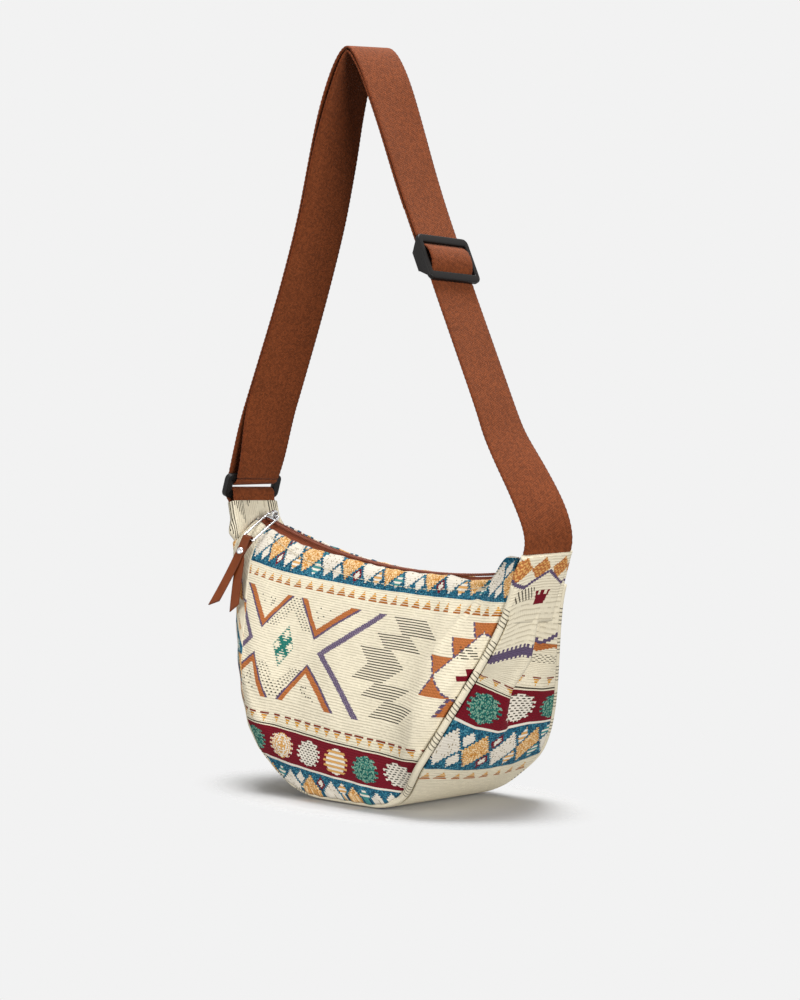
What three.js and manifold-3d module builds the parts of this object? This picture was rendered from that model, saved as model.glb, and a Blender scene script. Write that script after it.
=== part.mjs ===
// A soft belt bag of woven jacquard with a curved top zip, piped seams and an adjustable webbing strap.
// Millimetres. x runs along the bag, y from its front (-) to its back (+), z up from where it stands.

import * as THREE from "three";
import { mergeVertices } from "three/addons/utils/BufferGeometryUtils.js";
import Module from "manifold-3d";

const wasm = await Module();
wasm.setup();

// Materials of the make.
const FABRIC = 1.8; // jacquard with its backing
const LINING = 0.8;
const WEBBING_WIDTH = 38;
const WEBBING = 1.5;
const LEATHER = 1.2;
const GAP = 0.3; // between pieces that touch

// Body: base, ends and depth.
const BASE_LEFT = 13; // half lengths of the flat base
const BASE_RIGHT = 35;
const BASE_HALF_DEPTH = 46;
const BELLY_HALF_DEPTH_LEFT = 52;
const BELLY_HALF_DEPTH_RIGHT = 57;
const BELLY_TURN = 60; // how far each side of the middle the depth changes over
const END_REACH_LEFT = 137; // from the middle to the top of each end tab
const END_REACH_RIGHT = 140;
const TAB_HEIGHT_LEFT = 185;
const TAB_HEIGHT_RIGHT = 163;
const END_FLARE_LEFT = 40; // how far a tab's top stands out past the end below it
const END_FLARE_RIGHT = 26.5;
const END_SHOULDER_LEFT = 35; // height where each end turns upwards
const END_SHOULDER_RIGHT = 84;
const FOOT_RUN_LEFT = 51; // run of the rounded corner between base and end
const FOOT_RUN_RIGHT = 67;
const FOOT_RISE_LEFT = 1;
const FOOT_RISE_RIGHT = 6;
const TAB_MARGIN = 1.5; // cloth past each edge of the webbing in a tab
const TAB_OVERLAP = 20; // webbing sewn inside a tab
const END_WRAP = 3.6; // how far the ends round off towards their seams
const CREASE_DEPTH = 7; // fold down the middle of each end
const CREASE_OFFSET = 0.25; // towards the back, in half depths
const CREASE_REACH = 0.6;

// Heights on an end, as shares of its tab's height: where each change begins and is complete.
const TAPER = [0.13, 0.87]; // from the belly to the tab
const TUCK = [0, 0.2]; // from the base to the belly
const WRAP_ON = [0, 0.12];
const WRAP_OFF = [0.3, 0.75];
const CREASE_ON = [0.3, 0.55];
const CREASE_OFF = [0.66, 0.86];

// Fullness of the panels.
const FRONT_BULGE = 13;
const PANEL_EASE = 0.7; // how full they stay towards their edges
const BELLY_ON = [0.3, 0.85]; // shares of the way from mouth to seam
const BELLY_OFF = [0.85, 1];
const PIPING_RADIUS = 2.2;

// Zip: an arc whose centre is above the bag.
const ZIP_RADIUS = 485;
const ZIP_LOW_X = 60;
const ZIP_LOW_Z = 145;
const ZIP_INSET_LEFT = 15; // from the top of each tab to the zip's ends
const ZIP_INSET_RIGHT = 40;
const ZIP_SLIT = 0.5; // from the middle to each row of the coil
const COIL_WIDTH = 2.4;
const COIL_HEIGHT = 2.0;
const TAPE_HALF_WIDTH = 5.5;
const TAPE_DROP = 2.5; // of each tape from the coil to its sewn edge
const TAPE = 0.7;
const STOP_LENGTH = 3;
const MOUTH_MARGIN = 2.1; // from a tape's edge to the folded edge of its panel
const CORNER_RISE = 12; // of the panels at the right end of the zip
const CORNER_RUN = 20;

// Zip slider and its pull.
const SLIDER_INSET = 7.4; // from the zip's left end
const SLIDER_LENGTH = 7.6;
const SLIDER_WIDTH = 7;
const SLIDER_PLATE = 1.0;
const SLIDER_BLADE = 0.5;
const BRIDGE_HEIGHT = 5;
const BRIDGE_WIDTH = 4.6;
const BRIDGE_LENGTH = 3;
const BRIDGE_WALL = 0.8;
const FRAME_LENGTH = 30;
const FRAME_WIRE = 1.6;
const FRAME_ANGLE = 54; // degrees from hanging straight down
const PULL_WIDTH = 7;
const PULL_CLEARANCE = 0.7; // each side of the leather in its frame
const PULL_TAIL = 41;
const PULL_ANGLE = 27;
const PULL_SPLAY = 9; // each way
const FRAME_SWING = 10; // sideways, towards hanging straight
const PULL_SWING = 14;
const RIVET_DROP = 10;
const RIVET_RADIUS = 2.6;
const RIVET_HEAD = 1.1;

// Strap, in the x-z plane: up the right side, over the crest and down to the ring on the left.
const CREST_X = -20;
const CREST_Z = 494;
const LIMB_FOOT = [100, 240]; // the straight stretch that the adjuster slides on
const LIMB_HEAD = [40, 371];
const LEFT_LIMB = [-61, 397];
const LEFT_LIMB_LEAN = 15.7; // degrees from upright
const ADJUSTER_SHARE = 0.81; // of the straight stretch, counted from its foot

// Moulded hardware.
const SLOT_CLEARANCE = 0.6; // each side of the webbing
const RING_LEAN = 19; // degrees from upright
const RING_PITCH = 12; // from bar to bar
const RING_BAR = 5;
const RING_THICKNESS = 4;
const LOOP_RISE = 12.5; // from the tab to the lower bar
const LOOP_LEAN = -22;
const LOOP_TURN = -0.7; // where the loop's outer leg meets the bar, in radians
const ADJUSTER_LENGTH = 32;
const ADJUSTER_BAR = 5.5;
const ADJUSTER_MIDDLE_BAR = 8;
const ADJUSTER_PLATE = 3.6;
const ADJUSTER_RAIL = 3.6;
const ADJUSTER_RADIUS = 4;

const CLOTH = new THREE.MeshStandardMaterial({ color: 0xd9cfb8, roughness: 0.95, metalness: 0 });
const BROWN_WEBBING = new THREE.MeshStandardMaterial({ color: 0x8f4a2b, roughness: 0.9, metalness: 0 });
const BROWN_LEATHER = new THREE.MeshStandardMaterial({ color: 0x8a4a22, roughness: 0.55, metalness: 0 });
const BROWN_ZIP = new THREE.MeshStandardMaterial({ color: 0x8a4528, roughness: 0.8, metalness: 0 });
const LINING_CLOTH = new THREE.MeshStandardMaterial({ color: 0xcfc4ad, roughness: 0.9, metalness: 0 });
const BLACK_PLASTIC = new THREE.MeshStandardMaterial({ color: 0x1d1d1c, roughness: 0.45, metalness: 0 });
const SILVER_METAL = new THREE.MeshStandardMaterial({ color: 0xd0d0d0, roughness: 0.25, metalness: 1 });

const BACK = new THREE.Vector3(0, 1, 0);
const bag = new THREE.Group();

// Shared helpers.

const mix = (a, b, share) => a + (b - a) * share;
const smooth = ([low, high], x) => THREE.MathUtils.smoothstep(x, low, high);
const flat = (x, z) => new THREE.Vector2(x, z);
const radians = THREE.MathUtils.degToRad;

// The direction that leans from upright towards +x by an angle in degrees.
const leaning = (angle) => flat(Math.sin(radians(angle)), Math.cos(radians(angle)));

function addMesh(name, geometry, material, parent = bag) {
  const mesh = new THREE.Mesh(geometry, material);
  mesh.name = name;
  parent.add(mesh);
  return mesh;
}

// A closed mesh as a solid for joining and cutting.
function solidOf(geometry) {
  const bare = geometry.clone();
  bare.deleteAttribute("normal");
  bare.deleteAttribute("uv");
  const merged = mergeVertices(bare, 1e-4);
  return new wasm.Manifold(
    new wasm.Mesh({
      numProp: 3,
      vertProperties: merged.attributes.position.array,
      triVerts: new Uint32Array(merged.index.array),
    }),
  );
}

function geometryOf(solid) {
  const mesh = solid.getMesh();
  const geometry = new THREE.BufferGeometry();
  geometry.setAttribute("position", new THREE.BufferAttribute(mesh.vertProperties, 3));
  geometry.setIndex(new THREE.BufferAttribute(mesh.triVerts, 1));
  return geometry;
}

const joined = (...geometries) => geometryOf(geometries.map(solidOf).reduce((a, b) => a.add(b)));

function block(width, depth, height, x = 0, y = 0, z = 0) {
  return new THREE.BoxGeometry(width, depth, height).translate(x, y, z);
}

// The solid between a grid of points on a sheet's outer face and the same grid on its inner face.
function sheetSolid(outer, inner) {
  const rows = outer.length;
  const columns = outer[0].length;
  const points = [...outer.flat(), ...inner.flat()];
  const behind = rows * columns;
  const at = (i, j) => i * columns + j;
  const faces = [];
  const quad = (a, b, c, d) => faces.push(a, b, c, a, c, d);
  for (let i = 0; i < rows - 1; i++) {
    for (let j = 0; j < columns - 1; j++) {
      quad(at(i, j), at(i + 1, j), at(i + 1, j + 1), at(i, j + 1));
      quad(behind + at(i, j), behind + at(i, j + 1), behind + at(i + 1, j + 1), behind + at(i + 1, j));
    }
  }
  for (let i = 0; i < rows - 1; i++) {
    const last = columns - 1;
    quad(at(i, 0), behind + at(i, 0), behind + at(i + 1, 0), at(i + 1, 0));
    quad(at(i, last), at(i + 1, last), behind + at(i + 1, last), behind + at(i, last));
  }
  for (let j = 0; j < columns - 1; j++) {
    const last = rows - 1;
    quad(at(0, j), at(0, j + 1), behind + at(0, j + 1), behind + at(0, j));
    quad(at(last, j), behind + at(last, j), behind + at(last, j + 1), at(last, j + 1));
  }
  const volume = faces.reduce((sum, _, k) => {
    if (k % 3) return sum;
    const [a, b, c] = [points[faces[k]], points[faces[k + 1]], points[faces[k + 2]]];
    return sum + a.dot(b.clone().cross(c));
  }, 0);
  const geometry = new THREE.BufferGeometry().setFromPoints(points);
  geometry.setIndex(volume > 0 ? faces : faces.slice().reverse());
  return geometry;
}

// The grid moved along its own normals. Positive distances go to the side that "towards" looks at.
function offsetGrid(grid, distance, towards) {
  const rows = grid.length;
  const columns = grid[0].length;
  return grid.map((row, i) =>
    row.map((point, j) => {
      const along = grid[Math.min(i + 1, rows - 1)][j].clone().sub(grid[Math.max(i - 1, 0)][j]);
      const across = row[Math.min(j + 1, columns - 1)].clone().sub(row[Math.max(j - 1, 0)]);
      const normal = along.cross(across).normalize();
      if (normal.dot(towards(point)) < 0) normal.negate();
      return point.clone().addScaledVector(normal, distance);
    }),
  );
}

const steppedList = (steps, item) => Array.from({ length: steps + 1 }, (_, i) => item(i / steps));

const gridOf = (rows, columns, point) => steppedList(rows, (i) => steppedList(columns, (j) => point(i, j)));

const mirrored = (grid) => grid.map((row) => row.map((p) => new THREE.Vector3(p.x, -p.y, p.z)));

// A profile drawn in the x-z plane, as deep as the two y values say.
function addProfile(name, outline, front, back, material) {
  const shape = new THREE.Shape(outline);
  const geometry = new THREE.ExtrudeGeometry(shape, { depth: back - front, bevelEnabled: false });
  const mesh = addMesh(name, geometry, material);
  mesh.rotation.x = Math.PI / 2;
  mesh.position.y = back;
  return mesh;
}

// The direction square to a row of points, on its left.
function leftOf(points, i) {
  const ahead = points[Math.min(i + 1, points.length - 1)];
  const way = ahead.clone().sub(points[Math.max(i - 1, 0)]).normalize();
  return flat(-way.y, way.x);
}

// The outline of a strip of even thickness along a row of points.
function stripOutline(points, thickness) {
  const sides = points.map((point, i) => {
    const left = leftOf(points, i).multiplyScalar(thickness / 2);
    return [point.clone().add(left), point.clone().sub(left)];
  });
  return [...sides.map((s) => s[0]), ...sides.map((s) => s[1]).reverse()];
}

const addWebbing = (name, points) =>
  addProfile(name, stripOutline(points, WEBBING), -WEBBING_WIDTH / 2, WEBBING_WIDTH / 2, BROWN_WEBBING);

// Points a distance to the left of a row of points, and the distance may change along it.
function beside(points, distance) {
  return points.map((point, i) => {
    return point.clone().addScaledVector(leftOf(points, i), distance(i / (points.length - 1)));
  });
}

// Body outline: the outer face of the strip that runs from tab to tab under the bag.

const leftEnd = new THREE.CubicBezierCurve(
  flat(-END_REACH_LEFT, TAB_HEIGHT_LEFT),
  flat(-END_REACH_LEFT + END_FLARE_LEFT, END_SHOULDER_LEFT),
  flat(-BASE_LEFT - FOOT_RUN_LEFT, FOOT_RISE_LEFT),
  flat(-BASE_LEFT, 0),
);
const rightEnd = new THREE.CubicBezierCurve(
  flat(BASE_RIGHT, 0),
  flat(BASE_RIGHT + FOOT_RUN_RIGHT, FOOT_RISE_RIGHT),
  flat(END_REACH_RIGHT - END_FLARE_RIGHT, END_SHOULDER_RIGHT),
  flat(END_REACH_RIGHT, TAB_HEIGHT_RIGHT),
);
const outline = new THREE.CurvePath();
outline.add(leftEnd);
outline.add(new THREE.LineCurve(flat(-BASE_LEFT, 0), flat(BASE_RIGHT, 0)));
outline.add(rightEnd);

const TAB_HALF = WEBBING_WIDTH / 2 + TAB_MARGIN;
const SEAM_ROOM = PIPING_RADIUS + GAP;

// Height above the base as a share of that end's own tab height.
const shareUp = (x, z) => z / (x < 0 ? TAB_HEIGHT_LEFT : TAB_HEIGHT_RIGHT);

// Half depth at the fullest height: the bag is deeper towards its right end.
const bellyHalfDepth = (x) =>
  mix(BELLY_HALF_DEPTH_LEFT, BELLY_HALF_DEPTH_RIGHT, smooth([-BELLY_TURN, BELLY_TURN], x));

// Half depth of the bag at its seams.
function seamHalfDepth(x, up) {
  const belly = bellyHalfDepth(x);
  const taper = 1 - smooth(TAPER, up);
  const tuck = (belly - BASE_HALF_DEPTH) * (1 - smooth(TUCK, up));
  return TAB_HALF + SEAM_ROOM + (belly - TAB_HALF - SEAM_ROOM) * taper - tuck;
}

function outlineAt(share) {
  const point = outline.getPointAt(share);
  const along = outline.getTangentAt(share);
  const inward = flat(-along.y, along.x);
  return { point, inward, up: shareUp(point.x, point.y), side: Math.sign(point.x) };
}

const endWrap = (up) => END_WRAP * smooth(WRAP_ON, up) * (1 - smooth(WRAP_OFF, up));
const creaseAt = (up) => CREASE_DEPTH * smooth(CREASE_ON, up) * (1 - smooth(CREASE_OFF, up));

// A point on the strip's outer face: along its length, and across it from -1 (front) to 1 (back).
function gussetPoint(share, across) {
  const { point, inward, up, side } = outlineAt(share);
  const halfDepth = seamHalfDepth(point.x, up) - SEAM_ROOM;
  const fold = creaseAt(up) * Math.max(0, 1 - Math.abs(across - CREASE_OFFSET) / CREASE_REACH);
  return new THREE.Vector3(
    point.x + inward.x * fold - side * endWrap(up) * across * across,
    halfDepth * across,
    point.y + inward.y * fold,
  );
}

// The middle of the piping in the front seam.
function seamPoint(share) {
  const { point, inward, up, side } = outlineAt(share);
  return new THREE.Vector3(
    point.x + inward.x * SEAM_ROOM - side * endWrap(up),
    -seamHalfDepth(point.x, up),
    point.y + inward.y * SEAM_ROOM,
  );
}

// Zip line.

const ZIP_LEFT = -END_REACH_LEFT + ZIP_INSET_LEFT;
const ZIP_RIGHT = END_REACH_RIGHT - ZIP_INSET_RIGHT;
const ZIP_CENTRE = flat(ZIP_LOW_X, ZIP_LOW_Z + ZIP_RADIUS);
const zipAngle = (x) => Math.asin((x - ZIP_CENTRE.x) / ZIP_RADIUS);
const zipPoint = (angle, rise = 0) =>
  flat(
    ZIP_CENTRE.x + (ZIP_RADIUS - rise) * Math.sin(angle),
    ZIP_CENTRE.y - (ZIP_RADIUS - rise) * Math.cos(angle),
  );

// An arc of the zip between two places along x and two heights above the tape's middle.
function zipBand(left, right, low, high, steps) {
  const angles = steppedList(steps, (share) => mix(zipAngle(left), zipAngle(right), share));
  return [...angles.map((a) => zipPoint(a, low)), ...angles.map((a) => zipPoint(a, high)).reverse()];
}

// Front and back panels, between the mouth and the seam.

// Share of the outline, from the left tab on, at which it has come down to a height.
function shareDownTo(height) {
  let [above, below] = [0, 0.25];
  for (let i = 0; i < 40; i += 1) {
    const middle = (above + below) / 2;
    if (outline.getPointAt(middle).y > height) above = middle;
    else below = middle;
  }
  return below;
}

const CORNER_DROP = 17.7; // from the zip's left end down to the panels' left corners
const SEAM_START = shareDownTo(zipPoint(zipAngle(ZIP_LEFT)).y - CORNER_DROP);
const SEAM_END = 0.9532; // share of the outline where the panels' right corners are
const SEAM_STEP = 0.002; // for its direction
const SEAM_EASE = 0.45; // how much sooner the seam falls than the mouth runs on

function mouthPoint(share) {
  const x = mix(ZIP_LEFT, ZIP_RIGHT + CORNER_RUN, share);
  const line = zipPoint(zipAngle(x), TAPE - TAPE_DROP);
  const lift = CORNER_RISE * smooth([ZIP_RIGHT, ZIP_RIGHT + CORNER_RUN], x);
  return new THREE.Vector3(line.x, -TAPE_HALF_WIDTH - MOUTH_MARGIN, line.y + lift);
}

function panelPoint(along, down) {
  const top = mouthPoint(along);
  const ease = along + (SEAM_EASE * Math.sin(2 * Math.PI * along)) / (2 * Math.PI);
  const share = mix(SEAM_START, SEAM_END, ease);
  const seam = seamPoint(share);
  const way = seamPoint(share + SEAM_STEP).sub(seamPoint(share - SEAM_STEP)).normalize();
  const chord = top.clone().sub(seam);
  chord.addScaledVector(way, -chord.dot(way)).normalize();
  const bottom = seam.addScaledVector(chord, SEAM_ROOM + 2 * GAP);
  bottom.y -= FABRIC / 2;
  const fullness = FRONT_BULGE * Math.pow(Math.sin(Math.PI * along), PANEL_EASE) + FABRIC;
  const swell = fullness * Math.pow(Math.sin(Math.PI * down), PANEL_EASE);
  const point = top.lerp(bottom, down);
  const belly = (bellyHalfDepth(point.x) - BASE_HALF_DEPTH) * smooth(BELLY_ON, down);
  point.y -= swell + belly * (1 - smooth(BELLY_OFF, down)) * Math.sin(Math.PI * along);
  return point;
}

const PANEL_COLUMNS = 30;
const PANEL_ROWS = 11;
const intoBag = (point) => new THREE.Vector3(-point.x, -point.y, ZIP_LOW_Z / 2 - point.z);

function addPanels() {
  const outer = gridOf(PANEL_COLUMNS, PANEL_ROWS, panelPoint);
  const inner = offsetGrid(outer, FABRIC, () => BACK);
  addMesh("front_panel", sheetSolid(outer, inner), CLOTH);
  addMesh("back_panel", sheetSolid(mirrored(outer), mirrored(inner)), CLOTH);
}

const GUSSET_STEPS = 40;
const GUSSET_ACROSS = 8;

function addGusset() {
  const outer = gridOf(GUSSET_STEPS, GUSSET_ACROSS, (s, w) => gussetPoint(s, 2 * w - 1));
  const inner = offsetGrid(outer, FABRIC, intoBag);
  addMesh("gusset", sheetSolid(outer, inner), CLOTH);
}

const PIPING_STEPS = 48;
const PIPING_SIDES = 8;

function addPiping(name, side) {
  const points = steppedList(PIPING_STEPS, (share) => {
    const point = seamPoint(mix(SEAM_START, SEAM_END, share));
    return new THREE.Vector3(point.x, point.y * side, point.z);
  });
  const section = new THREE.Shape().absarc(0, 0, PIPING_RADIUS, 0, 2 * Math.PI);
  const geometry = new THREE.ExtrudeGeometry(section, {
    curveSegments: PIPING_SIDES / 2,
    steps: PIPING_STEPS,
    extrudePath: new THREE.CatmullRomCurve3(points),
    bevelEnabled: false,
  });
  addMesh(name, geometry, CLOTH);
}

// The lining: one pouch inside the panels, open along the zip.
const LINING_INSET = 2.2;
const LINING_COLUMNS = 16;
const LINING_ROWS = 8;
const LINING_END = 0.1; // share of the panels' length left at each end
const LINING_TOP = 0.06; // share of their height left at the mouth and at the seam
const LINING_FOOT = 0.04;

function addLining() {
  const outer = gridOf(LINING_COLUMNS, LINING_ROWS, (a, d) =>
    panelPoint(mix(LINING_END, 1 - LINING_END, a), mix(LINING_TOP, 1 - LINING_FOOT, d)),
  );
  const front = offsetGrid(outer, FABRIC + LINING_INSET, () => BACK);
  const frontInner = offsetGrid(outer, FABRIC + LINING_INSET + LINING, () => BACK);
  const around = (grid, rise) =>
    grid.map((row) => {
      const half = row.map((p, j) => new THREE.Vector3(p.x, p.y, p.z + (j === row.length - 1 ? rise : 0)));
      return [...half, ...mirrored([half])[0].reverse()];
    });
  addMesh("lining", sheetSolid(around(front, 0), around(frontInner, LINING)), LINING_CLOTH);
}

// Zip tapes, coils, stops and the cloth ends that finish it.

const ZIP_STEPS = 22;
const END_TAB = 1.2;
const END_MEET = 0.02; // share of the outline where the zip's ends meet the tabs

// One tape: it falls away from the coil to the panel like a roof.
function tapeGrid(sign, depth) {
  return gridOf(ZIP_STEPS, 1, (a, w) => {
    const angle = mix(zipAngle(ZIP_LEFT), zipAngle(ZIP_RIGHT), a);
    const point = zipPoint(angle, -TAPE_DROP * w - depth);
    return new THREE.Vector3(point.x, sign * mix(ZIP_SLIT, TAPE_HALF_WIDTH, w), point.y);
  });
}

function addZip() {
  const left = ZIP_LEFT + STOP_LENGTH + GAP;
  const right = ZIP_RIGHT - STOP_LENGTH - GAP;
  const coil = zipBand(left, right, GAP, GAP + COIL_HEIGHT, ZIP_STEPS);
  for (const [side, sign] of [["front", -1], ["back", 1]]) {
    addMesh(`zip_tape_${side}`, sheetSolid(tapeGrid(sign, 0), tapeGrid(sign, TAPE)), BROWN_ZIP);
    const reach = [sign * ZIP_SLIT, sign * (ZIP_SLIT + COIL_WIDTH)].sort((a, b) => a - b);
    addProfile(`zip_coil_${side}`, coil, ...reach, BROWN_ZIP);
  }
  const stopHalf = ZIP_SLIT + COIL_WIDTH;
  const stops = { zip_stop_left: ZIP_LEFT, zip_stop_right: ZIP_RIGHT - STOP_LENGTH };
  for (const [name, x] of Object.entries(stops)) {
    const stop = zipBand(x, x + STOP_LENGTH, GAP, GAP + COIL_HEIGHT, 1);
    addProfile(name, stop, -stopHalf, stopHalf, SILVER_METAL);
  }
}

function addZipEnds() {
  const ends = [
    ["zip_end_left", ZIP_LEFT - 3 * GAP, outlineAt(END_MEET)],
    ["zip_end_right", ZIP_RIGHT + 3 * GAP, outlineAt(1 - END_MEET)],
  ];
  for (const [name, x, { point, inward }] of ends) {
    const start = zipPoint(zipAngle(x), 0);
    const meet = point.clone().addScaledVector(inward, FABRIC + WEBBING * 2 + GAP * 6);
    addProfile(name, stripOutline([start, meet], END_TAB), -TAPE_HALF_WIDTH, TAPE_HALF_WIDTH, CLOTH);
  }
}

// Slider, pull frame and leather pull.

const sliderAngle = zipAngle(ZIP_LEFT + SLIDER_INSET);
const plateLow = COIL_HEIGHT + 2 * GAP;
const bridgeLow = plateLow + SLIDER_PLATE;
const SHOE_HALF = ZIP_SLIT + COIL_WIDTH; // the slider's lower plate
const shoeTop = -(TAPE_DROP * COIL_WIDTH) / (TAPE_HALF_WIDTH - ZIP_SLIT) - TAPE - GAP;

function addSlider() {
  const foot = zipPoint(sliderAngle);
  const group = new THREE.Group();
  group.position.set(foot.x, 0, foot.y);
  group.rotation.y = -sliderAngle;
  bag.add(group);
  const plate = new THREE.Shape();
  const nose = SLIDER_WIDTH * 0.3;
  plate.moveTo(-SLIDER_LENGTH / 2, -SLIDER_WIDTH / 2 + nose / 2);
  plate.lineTo(-SLIDER_LENGTH / 2 + nose, -SLIDER_WIDTH / 2);
  plate.lineTo(SLIDER_LENGTH / 2, -SLIDER_WIDTH / 2 + nose);
  plate.lineTo(SLIDER_LENGTH / 2, SLIDER_WIDTH / 2 - nose);
  plate.lineTo(-SLIDER_LENGTH / 2 + nose, SLIDER_WIDTH / 2);
  plate.lineTo(-SLIDER_LENGTH / 2, SLIDER_WIDTH / 2 - nose / 2);
  const upper = new THREE.ExtrudeGeometry(plate, { depth: SLIDER_PLATE, bevelEnabled: false });
  const shoe = block(SLIDER_LENGTH, 2 * SHOE_HALF, SLIDER_PLATE, 0, 0, shoeTop - SLIDER_PLATE / 2);
  const bladeFoot = shoeTop - SLIDER_PLATE / 2;
  const bladeHeight = bridgeLow - bladeFoot;
  const blade = block(SLIDER_LENGTH / 2, SLIDER_BLADE, bladeHeight, 0, 0, bladeFoot + bladeHeight / 2);
  const legY = BRIDGE_WIDTH / 2 - BRIDGE_WALL / 2;
  const legZ = bridgeLow + BRIDGE_HEIGHT / 2 - BRIDGE_WALL / 2;
  const leg = (side) => block(BRIDGE_LENGTH, BRIDGE_WALL, BRIDGE_HEIGHT, 0, side * legY, legZ);
  const roofZ = bridgeLow + BRIDGE_HEIGHT - BRIDGE_WALL;
  const roof = block(BRIDGE_LENGTH, BRIDGE_WIDTH, BRIDGE_WALL, 0, 0, roofZ);
  const geometry = joined(upper.translate(0, 0, plateLow), shoe, blade, leg(-1), leg(1), roof);
  addMesh("zip_slider", geometry, SILVER_METAL, group);
}

// The frame's upper bar hangs in the slider's bridge: this is the line that it turns on.
const pivotRise = bridgeLow + (BRIDGE_HEIGHT - BRIDGE_WALL * 1.5) / 2;
const pivot = zipPoint(sliderAngle, pivotRise);

function roundedFrame(width, length, wire, radius) {
  const shape = new THREE.Shape();
  const trace = (path, halfWidth, halfLength, r) => {
    path.moveTo(-halfWidth + r, -halfLength);
    path.lineTo(halfWidth - r, -halfLength);
    path.absarc(halfWidth - r, -halfLength + r, r, -Math.PI / 2, 0);
    path.lineTo(halfWidth, halfLength - r);
    path.absarc(halfWidth - r, halfLength - r, r, 0, Math.PI / 2);
    path.lineTo(-halfWidth + r, halfLength);
    path.absarc(-halfWidth + r, halfLength - r, r, Math.PI / 2, Math.PI);
    path.lineTo(-halfWidth, -halfLength + r);
    path.absarc(-halfWidth + r, -halfLength + r, r, Math.PI, 1.5 * Math.PI);
    return path;
  };
  trace(shape, width / 2, length / 2, radius);
  const inside = Math.max(radius - wire, wire / 4);
  shape.holes.push(trace(new THREE.Path(), width / 2 - wire, length / 2 - wire, inside));
  return shape;
}

const zipWay = new THREE.Vector3(Math.cos(sliderAngle), 0, Math.sin(sliderAngle));

// A frame of reference on a bar: X follows the bar, and -Y hangs down the front of the bag.
function hangingGroup(place, bar, angle, swing) {
  const group = new THREE.Group();
  const lean = radians(angle);
  const up = new THREE.Vector3(0, Math.sin(lean), Math.cos(lean));
  up.addScaledVector(bar, -up.dot(bar)).normalize();
  group.quaternion.setFromRotationMatrix(new THREE.Matrix4().makeBasis(bar, up, bar.clone().cross(up)));
  group.rotateZ(radians(swing));
  group.position.copy(place);
  bag.add(group);
  return group;
}

const frameTop = new THREE.Vector3(pivot.x, 0, pivot.y);
const frameHang = hangingGroup(frameTop, zipWay, FRAME_ANGLE, FRAME_SWING);
const FRAME_DROP = FRAME_LENGTH - FRAME_WIRE; // from bar to bar
const FRAME_WIDTH = PULL_WIDTH + 2 * (PULL_CLEARANCE + FRAME_WIRE);

function addPullFrame() {
  const shape = roundedFrame(FRAME_WIDTH, FRAME_LENGTH, FRAME_WIRE, FRAME_WIRE * 1.5);
  const geometry = new THREE.ExtrudeGeometry(shape, {
    depth: FRAME_WIRE / 2,
    curveSegments: 3,
    bevelEnabled: true,
    bevelSegments: 1,
    bevelThickness: FRAME_WIRE / 4,
    bevelSize: FRAME_WIRE / 4,
    bevelOffset: -FRAME_WIRE / 4,
  });
  geometry.translate(0, -FRAME_DROP / 2, -FRAME_WIRE / 4);
  addMesh("pull_frame", geometry, SILVER_METAL, frameHang);
}

const lowBar = new THREE.Vector3(1, 0, 0).applyQuaternion(frameHang.quaternion);
const pullTop = new THREE.Vector3(0, -FRAME_DROP, 0).applyQuaternion(frameHang.quaternion).add(frameTop);
const pullHang = hangingGroup(pullTop, lowBar, PULL_ANGLE, 0);
const FOLD_INNER = FRAME_WIRE / 2 + GAP * 2; // radius inside the leather's fold
const FOLD_STEPS = 6;

// One tail of the pull, splayed about the rivet, its end cut on a slant.
function pullTail(layer, splay) {
  const tail = new THREE.Shape();
  const half = PULL_WIDTH / 2;
  tail.moveTo(-half, half);
  tail.lineTo(-half, -PULL_TAIL + half);
  tail.lineTo(half, -PULL_TAIL - half / 2);
  tail.lineTo(half, half);
  const geometry = new THREE.ExtrudeGeometry(tail, { depth: LEATHER, bevelEnabled: false });
  geometry.rotateZ(radians(splay));
  geometry.translate(0, -RIVET_DROP, layer);
  return geometry;
}

function addLeatherPull() {
  const onArc = (radius, turn) => flat(radius * Math.cos(turn), radius * Math.sin(turn));
  const arc = (radius) => steppedList(FOLD_STEPS, (share) => onArc(radius, Math.PI * share));
  const outer = FOLD_INNER + LEATHER;
  const legs = [
    flat(outer, 0),
    ...arc(outer).slice(1, -1),
    flat(-outer, 0),
    flat(-LEATHER, -RIVET_DROP + RIVET_RADIUS + GAP),
    flat(-LEATHER, -RIVET_DROP),
    flat(LEATHER, -RIVET_DROP),
    flat(LEATHER, -RIVET_DROP + RIVET_RADIUS + GAP),
  ];
  const hollow = [
    flat(FOLD_INNER, 0),
    ...arc(FOLD_INNER).slice(1, -1),
    flat(-FOLD_INNER, 0),
    flat(-FOLD_INNER / 2, -RIVET_DROP / 2),
    flat(FOLD_INNER / 2, -RIVET_DROP / 2),
  ];
  const shape = new THREE.Shape(legs);
  shape.holes.push(new THREE.Path(hollow));
  const fold = new THREE.ExtrudeGeometry(shape, { depth: PULL_WIDTH, bevelEnabled: false });
  fold.translate(0, 0, -PULL_WIDTH / 2);
  fold.rotateY(-Math.PI / 2);
  const frontTail = pullTail(0, PULL_SWING - PULL_SPLAY);
  const backTail = pullTail(-LEATHER, PULL_SWING + PULL_SPLAY);
  const geometry = joined(fold, frontTail, backTail);
  const hole = new THREE.CylinderGeometry(RIVET_RADIUS / 2, RIVET_RADIUS / 2, LEATHER * 6, 12);
  hole.rotateX(Math.PI / 2).translate(0, -RIVET_DROP, 0);
  addMesh("leather_pull", geometryOf(solidOf(geometry).subtract(solidOf(hole))), BROWN_LEATHER, pullHang);
}

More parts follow.
